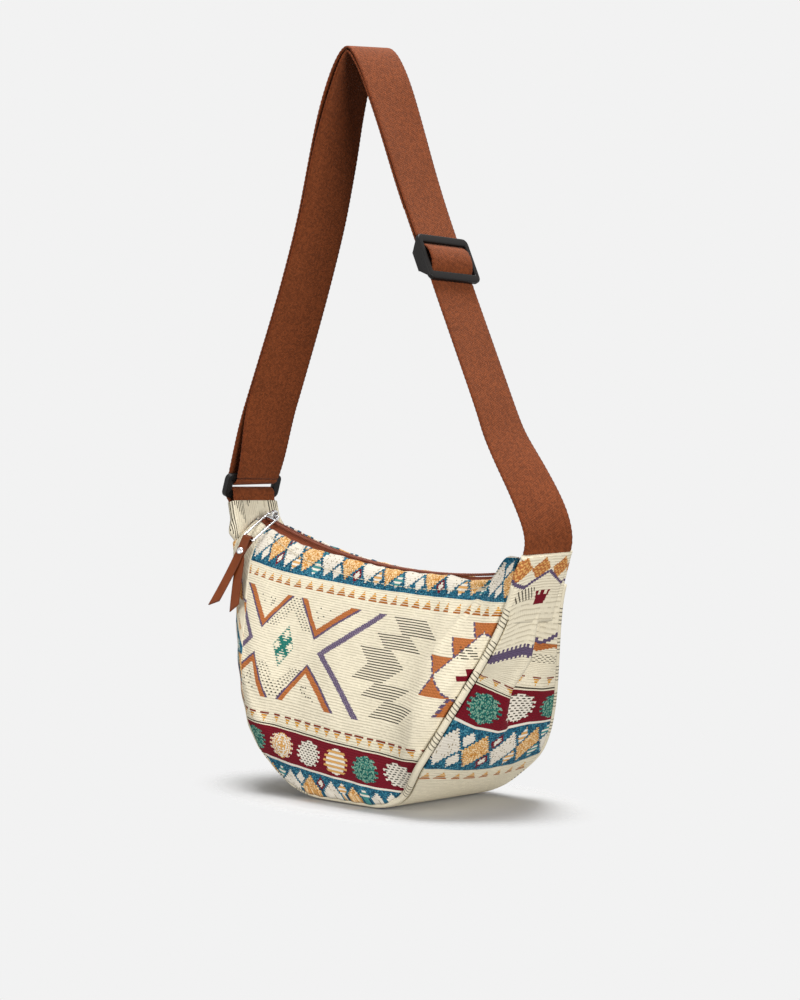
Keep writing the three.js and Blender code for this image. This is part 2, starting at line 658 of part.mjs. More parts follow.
function addRivet() {
  const shank = RIVET_RADIUS / 2 - GAP / 2;
  const seat = LEATHER + GAP;
  const profile = [
    flat(0, -seat - RIVET_HEAD / 2),
    flat(RIVET_RADIUS, -seat - RIVET_HEAD / 2),
    flat(RIVET_RADIUS, -seat),
    flat(shank, -seat),
    flat(shank, seat),
    flat(RIVET_RADIUS, seat),
    flat(RIVET_RADIUS * 0.85, seat + RIVET_HEAD * 0.6),
    flat(RIVET_RADIUS * 0.5, seat + RIVET_HEAD),
    flat(0, seat + RIVET_HEAD),
  ];
  const geometry = new THREE.LatheGeometry(profile, 12);
  geometry.rotateX(Math.PI / 2).translate(0, -RIVET_DROP, 0);
  addMesh("pull_rivet", geometry, SILVER_METAL, pullHang);
}

// Ring on the left tab, and the webbing loop that holds it.

const ringUp = leaning(RING_LEAN);
const FIRST_LAYER = FABRIC + GAP + WEBBING / 2; // of webbing, from the outer face of a tab
const SECOND_LAYER = FIRST_LAYER + WEBBING + GAP;
const tabLeft = outlineAt(0);
const lowerBar = tabLeft.point
  .clone()
  .addScaledVector(tabLeft.inward, (FIRST_LAYER + SECOND_LAYER) / 2)
  .addScaledVector(leaning(LOOP_LEAN), LOOP_RISE);
const upperBar = lowerBar.clone().addScaledVector(ringUp, RING_PITCH);
const ringMiddle = lowerBar.clone().lerp(upperBar, 0.5);
const SLOT_HALF = WEBBING_WIDTH / 2 + SLOT_CLEARANCE;

// Local axes of a piece on the strap: across it, along it and out of its face.
function strapGroup(centre, along) {
  const up = new THREE.Vector3(along.x, 0, along.y);
  const group = new THREE.Group();
  const basis = new THREE.Matrix4().makeBasis(BACK, up, BACK.clone().cross(up));
  group.quaternion.setFromRotationMatrix(basis);
  group.position.set(centre.x, 0, centre.y);
  bag.add(group);
  return group;
}

function addRing() {
  const shape = roundedFrame(2 * (SLOT_HALF + RING_BAR), RING_PITCH + RING_BAR, RING_BAR, RING_BAR * 0.8);
  const bevel = RING_BAR / 6;
  const geometry = new THREE.ExtrudeGeometry(shape, {
    depth: RING_THICKNESS - 2 * bevel,
    curveSegments: 3,
    bevelEnabled: true,
    bevelSegments: 1,
    bevelThickness: bevel,
    bevelSize: bevel,
    bevelOffset: -bevel,
  });
  geometry.translate(0, 0, -RING_THICKNESS / 2 + bevel);
  addMesh("strap_ring", geometry, BLACK_PLASTIC, strapGroup(ringMiddle, ringUp));
}

// Half a turn or more around a bar, from one face of the strap to the other.
const BAR_WRAP = Math.hypot(RING_BAR, RING_THICKNESS) / 2 + GAP + WEBBING / 2;

function barWrap(centre, sign, start = 0, steps = 8) {
  const side = flat(ringUp.y, -ringUp.x); // towards the inside of the bag
  return steppedList(steps, (share) => {
    const turn = mix(start, Math.PI, share);
    return centre
      .clone()
      .addScaledVector(side, -Math.cos(turn) * BAR_WRAP)
      .addScaledVector(ringUp, sign * Math.sin(turn) * BAR_WRAP);
  });
}

// The webbing in a tab lies along the inside of the gusset.
function insideTab(end, depth, steps = 3) {
  const length = outline.getLength();
  return steppedList(steps, (share) => {
    const down = (TAB_OVERLAP * share) / length;
    const { point, inward } = outlineAt(end === "left" ? down : 1 - down);
    return point.clone().addScaledVector(inward, depth);
  });
}

function addRingLoop() {
  const points = [
    ...insideTab("left", FIRST_LAYER).reverse(),
    ...barWrap(lowerBar, 1, LOOP_TURN),
    ...insideTab("left", SECOND_LAYER),
  ];
  addWebbing("ring_loop", points);
}

// Strap: the run from the right tab to the ring, and the run that comes back to the adjuster.

const crest = flat(CREST_X, CREST_Z);
const limbFoot = flat(...LIMB_FOOT);
const limbHead = flat(...LIMB_HEAD);
const limbUp = limbHead.clone().sub(limbFoot).normalize();
const leftLimb = flat(...LEFT_LIMB);
const leftLimbUp = leaning(LEFT_LIMB_LEAN);
const adjusterAt = limbFoot.clone().lerp(limbHead, ADJUSTER_SHARE);
const ADJUSTER_HEAD_ROOM = ADJUSTER_MIDDLE_BAR / 2 + GAP * 2;

const CREST_HANDLE = 15; // reach of the curve each side of the crest
const LIMB_HANDLE = 60;
const TAB_HANDLE = 8;

function bezier(a, b, c, d, steps) {
  return new THREE.CubicBezierCurve(a, b, c, d).getPoints(steps);
}

const moved = (point, direction, distance) => point.clone().addScaledVector(direction, distance);

const rightTabStrap = insideTab("right", FIRST_LAYER).reverse();
const strapRise = bezier(
  rightTabStrap.at(-1),
  moved(rightTabStrap.at(-1), outline.getTangentAt(1), TAB_HANDLE),
  moved(limbFoot, limbUp, -LIMB_HANDLE * 0.6),
  limbFoot,
  10,
);
const overCrest = bezier(
  limbHead,
  moved(limbHead, limbUp, LIMB_HANDLE),
  flat(crest.x + CREST_HANDLE, crest.y),
  crest,
  12,
);
const leftDown = leftLimb.clone().sub(upperBar).normalize();
const pastCrest = bezier(
  crest,
  flat(crest.x - CREST_HANDLE, crest.y),
  moved(leftLimb, leftLimbUp, LIMB_HANDLE * 0.75),
  leftLimb,
  12,
);
const ringWrap = barWrap(upperBar, -1);
const downToRing = bezier(
  leftLimb,
  moved(leftLimb, leftLimbUp, -LIMB_HANDLE),
  moved(ringWrap[0], leftDown, LIMB_HANDLE * 0.8),
  ringWrap[0],
  12,
);

const LAYER_STEP = WEBBING + GAP * 2; // from run to run
const RUNS_PART = [0.8, 0.99]; // shares of the return run, counted from the adjuster

function addStrap() {
  const outer = [
    ...rightTabStrap,
    ...strapRise.slice(1),
    limbHead,
    ...overCrest.slice(1),
    ...pastCrest.slice(1),
    ...downToRing.slice(1),
    ...ringWrap.slice(1),
  ];
  addWebbing("strap", outer);
}

// The return run keeps to the inner side of the first, and parts from it at the ring's bar.
function addReturnRun() {
  const start = moved(adjusterAt, limbUp, ADJUSTER_HEAD_ROOM);
  const guide = [start, limbHead, ...overCrest.slice(1), ...pastCrest.slice(1), ...downToRing.slice(1, -1)];
  const turnsIn = (share) => mix(LAYER_STEP, 2 * BAR_WRAP, smooth(RUNS_PART, share));
  const run = [...beside(guide, turnsIn), moved(ringWrap.at(-1), ringUp, GAP * 2)];
  addWebbing("strap_return", run);
}

// Adjuster: two end bars over the strap, a middle bar under it, and rails that join them.
function addAdjuster() {
  const clear = WEBBING / 2 + GAP;
  const halfWidth = SLOT_HALF + ADJUSTER_RAIL;
  const shape = roundedFrame(2 * halfWidth, ADJUSTER_LENGTH, ADJUSTER_BAR, ADJUSTER_RADIUS);
  shape.holes = [
    new THREE.Path([
      flat(-SLOT_HALF, -ADJUSTER_LENGTH / 2 + ADJUSTER_BAR),
      flat(-SLOT_HALF, ADJUSTER_LENGTH / 2 - ADJUSTER_BAR),
      flat(SLOT_HALF, ADJUSTER_LENGTH / 2 - ADJUSTER_BAR),
      flat(SLOT_HALF, -ADJUSTER_LENGTH / 2 + ADJUSTER_BAR),
    ]),
  ];
  const bevel = ADJUSTER_PLATE / 4;
  const plate = new THREE.ExtrudeGeometry(shape, {
    depth: ADJUSTER_PLATE - bevel,
    curveSegments: 4,
    bevelEnabled: true,
    bevelSegments: 1,
    bevelThickness: bevel,
    bevelSize: bevel,
    bevelOffset: -bevel,
  });
  plate.translate(0, 0, clear + bevel);
  const under = clear + ADJUSTER_PLATE;
  const cheekHeight = under + clear + ADJUSTER_PLATE / 2;
  const cheeks = [-1, 1].map((side) =>
    block(
      ADJUSTER_RAIL * 0.8,
      ADJUSTER_LENGTH * 0.6,
      cheekHeight,
      side * (SLOT_HALF + ADJUSTER_RAIL / 2),
      0,
      cheekHeight / 2 - under,
    ),
  );
  const middleWidth = 2 * SLOT_HALF + ADJUSTER_RAIL;
  const middleZ = -clear - ADJUSTER_PLATE / 2;
  const middle = block(middleWidth, ADJUSTER_MIDDLE_BAR, ADJUSTER_PLATE, 0, 0, middleZ);
  addMesh("strap_adjuster", joined(plate, ...cheeks, middle), BLACK_PLASTIC, strapGroup(adjusterAt, limbUp));
}

addPanels();
addGusset();
addPiping("front_piping", 1);
addPiping("back_piping", -1);
addLining();
addZip();
addZipEnds();
addSlider();
addPullFrame();
addLeatherPull();
addRivet();
addRing();
addRingLoop();
addStrap();
addReturnRun();
addAdjuster();

export default bag;
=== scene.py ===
"""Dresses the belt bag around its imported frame: jacquard body, zip, leather pull and webbing strap.

The classes hold sizes in millimetres, in the frame of the part; the meshes are in metres.
"""

import logging
import math
from contextlib import contextmanager
from dataclasses import dataclass
from enum import Enum
from typing import Callable, Iterator, Optional, Sequence, Union

import bpy
import numpy as np
from mathutils import Matrix, Vector, noise

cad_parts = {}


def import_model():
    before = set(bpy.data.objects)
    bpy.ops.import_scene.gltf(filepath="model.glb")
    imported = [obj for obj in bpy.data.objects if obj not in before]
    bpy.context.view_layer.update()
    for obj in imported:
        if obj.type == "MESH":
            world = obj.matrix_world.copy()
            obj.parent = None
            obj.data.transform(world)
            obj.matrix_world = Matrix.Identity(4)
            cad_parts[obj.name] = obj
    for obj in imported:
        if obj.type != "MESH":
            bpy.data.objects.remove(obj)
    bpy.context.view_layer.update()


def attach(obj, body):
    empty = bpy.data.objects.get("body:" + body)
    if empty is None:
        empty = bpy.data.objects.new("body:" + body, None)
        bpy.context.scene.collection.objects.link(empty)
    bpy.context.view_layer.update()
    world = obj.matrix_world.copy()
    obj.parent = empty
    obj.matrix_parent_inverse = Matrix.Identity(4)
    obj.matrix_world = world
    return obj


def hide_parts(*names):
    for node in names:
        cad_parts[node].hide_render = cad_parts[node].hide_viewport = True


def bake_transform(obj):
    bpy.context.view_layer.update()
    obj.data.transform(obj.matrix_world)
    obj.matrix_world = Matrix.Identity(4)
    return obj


LOG = logging.getLogger("belt_bag")
MM = 0.001
UV_NAME = "cloth"
BAG = "bag"
MIRROR = np.array([1.0, -1.0, 1.0])
Y_AXIS = np.array([0.0, 1.0, 0.0])
HARD_ANGLE = 0.7
WELD = 0.004

Points = np.ndarray
Pair = tuple[float, float]
Triple = tuple[float, float, float]
Numbers = tuple[float, ...]
Pairs = tuple[Pair, ...]
Colour = tuple[float, float, float, float]
Piece = bpy.types.Object
Paint = bpy.types.Material
Socket = bpy.types.NodeSocket


# Small tools for shapes.


def smooth(edges: Sequence[float], x: Points) -> Points:
    """Rises softly from 0 at the first edge to 1 at the second."""
    share = np.clip((np.asarray(x, float) - edges[0]) / (edges[1] - edges[0]), 0, 1)
    return share * share * (3 - 2 * share)


def plateau(edges: Sequence[float], x: Points) -> Points:
    """Rises softly between the first two edges, and falls between the last two."""
    return smooth(edges[:2], x) * (1 - smooth(edges[2:], x))


def hump(x: Points, middle: float, width: float) -> Points:
    """A soft bump of height 1 around a middle."""
    return np.exp(-(((np.asarray(x, float) - middle) / width) ** 2))


def unit(vectors: Points) -> Points:
    """The vectors at length 1."""
    vectors = np.asarray(vectors, float)
    return vectors / np.linalg.norm(vectors, axis=-1, keepdims=True)


def bezier(a: Points, b: Points, c: Points, d: Points, steps: int) -> Points:
    """Points on a cubic curve.

    Args:
        a: Where it starts.
        b: First handle.
        c: Second handle.
        d: Where it ends.
        steps: How many stretches.

    Returns:
        Rows of points, one more than the stretches.
    """
    a, b, c, d = (np.asarray(p, float) for p in (a, b, c, d))
    t = np.linspace(0, 1, steps + 1)[:, None]
    return a * (1 - t) ** 3 + 3 * b * t * (1 - t) ** 2 + 3 * c * t * t * (1 - t) + d * t**3


def lengths(points: Points) -> Points:
    """How far along a row of points each of them is."""
    return np.r_[0, np.cumsum(np.linalg.norm(np.diff(points, axis=0), axis=1))]


def resampled(points: Points, pitch: float) -> Points:
    """The same line as a row of evenly spaced points.

    Args:
        points: The line's own points.
        pitch: Wanted spacing.

    Returns:
        The new points.
    """
    along = lengths(points)
    places = np.linspace(0, along[-1], max(2, int(round(along[-1] / pitch)) + 1))
    return np.stack([np.interp(places, along, points[:, k]) for k in range(points.shape[1])], -1)


def soft_noise(points: Points, size: float, seed: float) -> Points:
    """Smooth unevenness between about -1 and 1 at points, by the size of its swells and a seed."""
    flat = points.reshape(-1, 3) / size + seed
    return np.array([noise.noise(Vector(p)) for p in flat]).reshape(points.shape[:-1])


def grid_normals(grid: Points) -> Points:
    """Unit normals of a grid of points."""
    return unit(np.cross(np.gradient(grid, axis=1), np.gradient(grid, axis=0)))


def new_object(name: str, points: Points, faces: list, corner_uv: Optional[Points] = None) -> Piece:
    """Makes a mesh object of points given in millimetres.

    Args:
        name: Name of the piece.
        points: Vertices.
        faces: Vertex numbers of each face.
        corner_uv: Cloth coordinates of each face corner, in millimetres.

    Returns:
        The object, in the scene.
    """
    mesh = bpy.data.meshes.new(name)
    mesh.from_pydata((np.asarray(points).reshape(-1, 3) * MM).tolist(), [], faces)
    if corner_uv is not None:
        layer = mesh.uv_layers.new(name=UV_NAME)
        layer.data.foreach_set("uv", (np.asarray(corner_uv, np.float32) * MM).ravel())
    mesh.polygons.foreach_set("use_smooth", [True] * len(mesh.polygons))
    obj = bpy.data.objects.new(name, mesh)
    bpy.context.scene.collection.objects.link(obj)
    return obj


def grid_object(name: str, grid: Points, uv: Points, around: bool = False) -> Piece:
    """Makes a mesh of a grid of points.

    Args:
        name: Name of the piece.
        grid: Rows of points.
        uv: Cloth coordinates, with one more column than the grid where it closes.
        around: Whether each row closes on itself; the ends are then capped.

    Returns:
        The object.
    """
    rows, columns = grid.shape[:2]
    across = columns if around else columns - 1
    i, j = np.meshgrid(np.arange(rows - 1), np.arange(across), indexing="ij")
    right = (j + 1) % columns
    upper, lower = i * columns, (i + 1) * columns
    faces = np.stack([upper + j, upper + right, lower + right, lower + j], -1)
    corners = np.stack([uv[i, j], uv[i, j + 1], uv[i + 1, j + 1], uv[i + 1, j]], -2)
    face_list = faces.reshape(-1, 4).tolist()
    corner_list = corners.reshape(-1, 2)
    if around:
        face_list += [list(range(columns))[::-1], list(range((rows - 1) * columns, rows * columns))]
        corner_list = np.vstack([corner_list, uv[0, :columns][::-1], uv[-1, :columns]])
    return new_object(name, grid, face_list, corner_list)


def only(obj: Piece) -> None:
    """Makes a piece the only one that is selected.

    Args:
        obj: The piece.
    """
    bpy.ops.object.select_all(action="DESELECT")
    obj.select_set(True)
    bpy.context.view_layer.objects.active = obj


def apply_modifier(obj: Piece, kind: str, **settings: object) -> None:
    """Adds a modifier and applies it.

    Args:
        obj: The piece.
        kind: Blender's name of the modifier.
        settings: Its values.
    """
    only(obj)
    modifier = obj.modifiers.new(kind.lower(), kind)
    for key, value in settings.items():
        setattr(modifier, key, value)
    bpy.ops.object.modifier_apply(modifier=modifier.name)


@contextmanager
def editing(obj: Piece, chosen: Optional[Callable[[Vector], bool]] = None) -> Iterator[None]:
    """Opens a piece for mesh tools, with all or some of it selected.

    Args:
        obj: The piece.
        chosen: Whether to take a vertex, by its place in millimetres; without it all are taken.

    Yields:
        Nothing; the tools act on what is selected.
    """
    only(obj)
    bpy.context.tool_settings.mesh_select_mode = (True, False, False)
    bpy.ops.object.mode_set(mode="EDIT")
    bpy.ops.mesh.select_all(action="DESELECT" if chosen else "SELECT")
    if chosen:
        bpy.ops.object.mode_set(mode="OBJECT")
        for vertex in obj.data.vertices:
            vertex.select = chosen(vertex.co / MM)
        bpy.ops.object.mode_set(mode="EDIT")
    yield
    bpy.ops.object.mode_set(mode="OBJECT")


def face_out(obj: Piece) -> Piece:
    """Turns the faces of a closed piece outwards.

    Args:
        obj: The piece.

    Returns:
        The piece.
    """
    with editing(obj):
        bpy.ops.mesh.normals_make_consistent(inside=False)
    return obj


def placed(obj: Piece, matrix: Matrix) -> Piece:
    """Moves a piece's mesh, and leaves its object at the origin.

    Args:
        obj: The piece.
        matrix: Where it goes.

    Returns:
        The piece.
    """
    obj.data.transform(matrix @ obj.matrix_world)
    obj.matrix_world = Matrix.Identity(4)
    return obj


def frame_matrix(across: Points, along: Points, origin: Points) -> Matrix:
    """The matrix of a piece's own axes, with its origin in millimetres.

    Args:
        across: Direction of its x.
        along: Direction of its y.
        origin: Where its origin goes.

    Returns:
        A matrix in metres.
    """
    x = Vector(across).normalized()
    y = Vector(along).normalized()
    z = x.cross(y)
    columns = Matrix((x, y, z)).transposed().to_4x4()
    columns.translation = Vector(origin) * MM
    return columns


def thickened(obj: Piece, thickness: float) -> Piece:
    """Gives a sheet its thickness, inwards from the face that is drawn."""
    apply_modifier(obj, "SOLIDIFY", thickness=thickness * MM, offset=-1.0, use_rim=True)
    return obj


# Shader maths.


Number = Union[float, "Value"]


def math_method(operation: str, swap: bool = False) -> Callable[..., "Value"]:
    """Makes a method that adds a Math node.

    Args:
        operation: Blender's name of it.
        swap: Whether the method's own value comes last.

    Returns:
        The method.
    """

    def method(self: "Value", *others: Number) -> "Value":
        """Adds the node.

        Args:
            others: Its other inputs.

        Returns:
            The result.
        """
        values = [*others, self] if swap else [self, *others]
        node = self.graph.node("ShaderNodeMath", {"operation": operation}, dict(enumerate(values)))
        return Value(self.graph, node.outputs[0])

    return method


class Value:
    """A number that changes over a surface: a socket with the usual operators.

    Comparisons give masks of 0 and 1, which & and | join; % is never negative, and folded runs up to a
    reach and back, over and over.
    """

    __add__ = __radd__ = math_method("ADD")
    __sub__, __rsub__ = math_method("SUBTRACT"), math_method("SUBTRACT", swap=True)
    __mul__ = __rmul__ = __and__ = math_method("MULTIPLY")
    __truediv__, __mod__ = math_method("DIVIDE"), math_method("FLOORED_MODULO")
    __lt__, __gt__, __or__ = math_method("LESS_THAN"), math_method("GREATER_THAN"), math_method("MAXIMUM")
    __abs__, floor, sine = math_method("ABSOLUTE"), math_method("FLOOR"), math_method("SINE")
    folded = math_method("PINGPONG")

    def __init__(self, graph: "Graph", socket: Socket) -> None:
        """Keeps the socket and the graph that it is in."""
        self.graph, self.socket = graph, socket

    def __invert__(self) -> "Value":
        """1 where the mask isn't."""
        return 1.0 - self

    def between(self, low: Number, high: Number) -> "Value":
        """1 between two limits."""
        return (self > low) & (self < high)

    def near(self, middle: Number, reach: float) -> "Value":
        """1 within a reach of a middle."""
        return abs(self - middle) < reach

    def snapped(self, step: float) -> "Value":
        """The middle of the step that it falls in."""
        return ((self / step).floor() + 0.5) * step


Link = Union[Value, Socket, Enum, float, Sequence[float]]


def srgb(red: int, green: int, blue: int) -> Colour:
    """A colour as a screen shows it, in the linear values that shaders take."""
    values = [c / 255 for c in (red, green, blue)]
    return (*[c / 12.92 if c < 0.04045 else ((c + 0.055) / 1.055) ** 2.4 for c in values], 1.0)


class Graph:
    """The nodes of one finish, or of the world."""

    def __init__(self, name: str, world: Optional[bpy.types.World] = None) -> None:
        """Starts a material with a bare shader.

        Args:
            name: Name of the material.
            world: The world, where the nodes are for that.
        """
        self.material = world or bpy.data.materials.new(name)
        self.material.use_nodes = True
        self.tree = self.material.node_tree
        self.shader = self.tree.nodes["Background" if world else "Principled BSDF"]
        self.surface = self.tree.nodes["World Output" if world else "Material Output"].inputs["Surface"]

    def node(
        self, kind: str, settings: Optional[dict] = None, inputs: Optional[dict] = None
    ) -> bpy.types.Node:
        """Adds a node.

        Args:
            kind: Blender's type name.
            settings: Properties, set first.
            inputs: Values or links by socket name or number.

        Returns:
            The node.
        """
        node = self.tree.nodes.new(kind)
        for key, value in (settings or {}).items():
            setattr(node, key, value)
        for key, value in (inputs or {}).items():
            self.feed(node.inputs[key], value)
        return node

    def feed(self, socket: Socket, value: Link) -> None:
        """Links a socket, or sets its value.

        Args:
            socket: The socket.
            value: What goes into it.
        """
        if isinstance(value, Enum):
            value = value.value
        if isinstance(value, Value):
            value = value.socket
        if isinstance(value, Socket):
            self.tree.links.new(value, socket)
        else:
            socket.default_value = value

    def value(self, socket: Socket) -> Value:
        """A socket as a number to reckon with."""
        return Value(self, socket)

    def parts(self, vector: Socket) -> list[Value]:
        """The three numbers of a vector."""
        return [self.value(part) for part in self.node("ShaderNodeSeparateXYZ", inputs={0: vector}).outputs]

    def cloth(self) -> tuple[Value, Value]:
        """Cloth coordinates of the piece's own map, in millimetres."""
        u, v, _ = self.parts(self.node("ShaderNodeUVMap", {"uv_map": UV_NAME}).outputs[0])
        return u / MM, v / MM

    def place(self) -> Socket:
        """Place on the piece, in metres."""
        return self.node("ShaderNodeTexCoord").outputs["Object"]

    def random(self, u: Value, v: Value) -> Value:
        """A random number for each pair of whole numbers.

        Args:
            u: The first number.
            v: The second.

        Returns:
            From 0 to 1.
        """
        pair = self.node("ShaderNodeCombineXYZ", inputs={0: u, 1: v}).outputs[0]
        speck = self.node("ShaderNodeTexWhiteNoise", {"noise_dimensions": "2D"}, {"Vector": pair})
        return self.value(speck.outputs["Value"])

    def noise(self, scale: float, detail: float = 2.0) -> Value:
        """Cloudy noise over the piece, around a half, by its clouds in a metre and its finer detail."""
        inputs = {"Vector": self.place(), "Scale": scale, "Detail": detail}
        return self.value(self.node("ShaderNodeTexNoise", inputs=inputs).outputs["Fac"])

    def mix(self, mask: Link, under: Link, over: Link) -> Socket:
        """Lays one colour over another where a mask says."""
        return self.node("ShaderNodeMix", {"data_type": "RGBA"}, {0: mask, 6: under, 7: over}).outputs[2]

    def scaled(self, colour: Link, factor: Value) -> Socket:
        """A colour made darker or lighter.

        Args:
            colour: The colour.
            factor: The number that it is multiplied by.

        Returns:
            The new colour.
        """
        colour = colour.value if isinstance(colour, Enum) else colour
        colour = colour if isinstance(colour, Socket) else colour[:3]
        node = self.node("ShaderNodeVectorMath", {"operation": "SCALE"}, {0: colour, "Scale": factor})
        return node.outputs[0]

    def dress(
        self, colour: Link, roughness: Link, height: Optional[Value] = None, depth: float = 0.3
    ) -> None:
        """Feeds the shader.

        Args:
            colour: Base colour.
            roughness: Roughness.
            height: Relief for the bump, in millimetres.
            depth: Strength of the bump.
        """
        self.feed(self.shader.inputs["Base Color"], colour)
        self.feed(self.shader.inputs["Roughness"], roughness)
        if height is not None:
            inputs = {"Strength": depth, "Distance": MM, "Height": height}
            self.feed(self.shader.inputs["Normal"], self.node("ShaderNodeBump", inputs=inputs).outputs[0])

    def constant(self, values: dict[str, float]) -> None:
        """Sets sockets of the shader that are the same all over."""
        for key, value in values.items():
            self.shader.inputs[key].default_value = value


class Yarn(Enum):
    """Colours of the woven yarns, and of the painted shade between the ribs."""

    CREAM = srgb(229, 219, 194)
    # Painted shade: the thin dark lines between the ribs of the cream ground; also the dark flecks in the
    # white yarn.
    PAINTED_SHADE_AND_FLECK = srgb(164, 150, 122)
    WHITE = srgb(229, 221, 206)
    OCHRE = srgb(212, 160, 94)
    ORANGE = srgb(176, 104, 56)
    PURPLE = srgb(92, 78, 104)
    BLUE = srgb(34, 98, 122)
    NAVY = srgb(22, 62, 84)
    GREEN = srgb(40, 112, 100)
    WINE = srgb(112, 18, 32)
    INK = srgb(62, 56, 44)
    AMBER = srgb(190, 118, 34)


@dataclass(frozen=True)
class Bands:
    """Where the bands of the cloth's repeat lie, in millimetres down from the blue band's lower edge."""

    repeat: float = 160.0
    top: float = 40.0
    small_tips: float = 2.6
    small_bases: float = 9.6
    middle: float = 51.2
    field_reach: float = 35.0
    low_bases: float = 94.3
    low_tips: float = 101.0
    lines: float = 102.4
    wine: float = 104.0
    white: float = 127.0
    blue: float = 128.3


class Cut(Enum):
    """Which stretch of the cloth a piece is cut from."""

    FRONT = "front"
    SIDE = "side"


class Weave:
    """One cloth's threads: coordinates stepped to picks, its colour so far, and the relief of its ribs."""

    def __init__(self, graph: Graph, bands: Bands, rib: float, pick: float) -> None:
        """Steps the coordinates, and lays the cream ground, with thin broken lines of painted shade between
        its ribs.

        Args:
            graph: The finish's nodes.
            bands: Where the bands lie.
            rib: Rib pitch.
            pick: Width of one thread.
        """
        self.graph, self.rib, self.pick = graph, rib, pick
        self.u_raw, v = graph.cloth()
        self.v_raw = v + (graph.noise(60.0, 1.0) - 0.5) * 0.8
        self.u = self.u_raw.snapped(pick)
        self.v = self.v_raw.snapped(rib / 2)
        self.down = (bands.top - self.v) % bands.repeat
        self.odd = (self.v % (2 * rib)) < rib
        self.speck = graph.random((self.u_raw / pick).floor(), (self.v_raw / (rib / 2)).floor())
        broken = graph.random((self.u_raw / 2.6).floor(), (self.v_raw / rib).floor()) < 0.74
        # Painted shade: thin broken dark lines in the gaps between the ribs.
        self.colour = graph.mix((self.line(0.4) & broken) * 0.42, Yarn.CREAM, Yarn.PAINTED_SHADE_AND_FLECK)

    def lay(self, mask: Value, yarn: Link) -> None:
        """Weaves a yarn in where a mask says."""
        self.colour = self.graph.mix(mask, self.colour, yarn)

    def line(self, width: float) -> Value:
        """1 on a line of some width in each rib."""
        return (self.v_raw % self.rib) < width

    def dashes(self, pitch: float, length: float, width: float) -> Value:
        """1 on short dashes in each rib, staggered from rib to rib."""
        return (((self.u + self.odd * (pitch / 2)) % pitch) < length) & self.line(width)

    def slanting(self, yarn: Yarn, dark: float, light: float) -> Socket:
        """A yarn in slanting threads, from a darker to a lighter factor of its colour."""
        slant = ((self.u + self.v * 1.3) % (4 * self.pick)) < 2 * self.pick
        return self.graph.scaled(yarn, dark + (light - dark) * (0.5 * slant + 0.5 * self.speck))

    def height(self) -> Value:
        """Relief of ribs and picks.

        Returns:
            Millimetres.
        """
        rib = (self.v_raw * (2 * math.pi / self.rib)).sine()
        thread = (self.u_raw * (math.pi / self.pick)).sine()
        return 0.16 * rib + 0.05 * thread + 0.10 * self.speck

    def tone(self) -> Value:
        """Slow unevenness of tone, with a little for each pick."""
        return 0.9 + 0.12 * self.graph.noise(35.0, 3.0) + 0.06 * self.speck


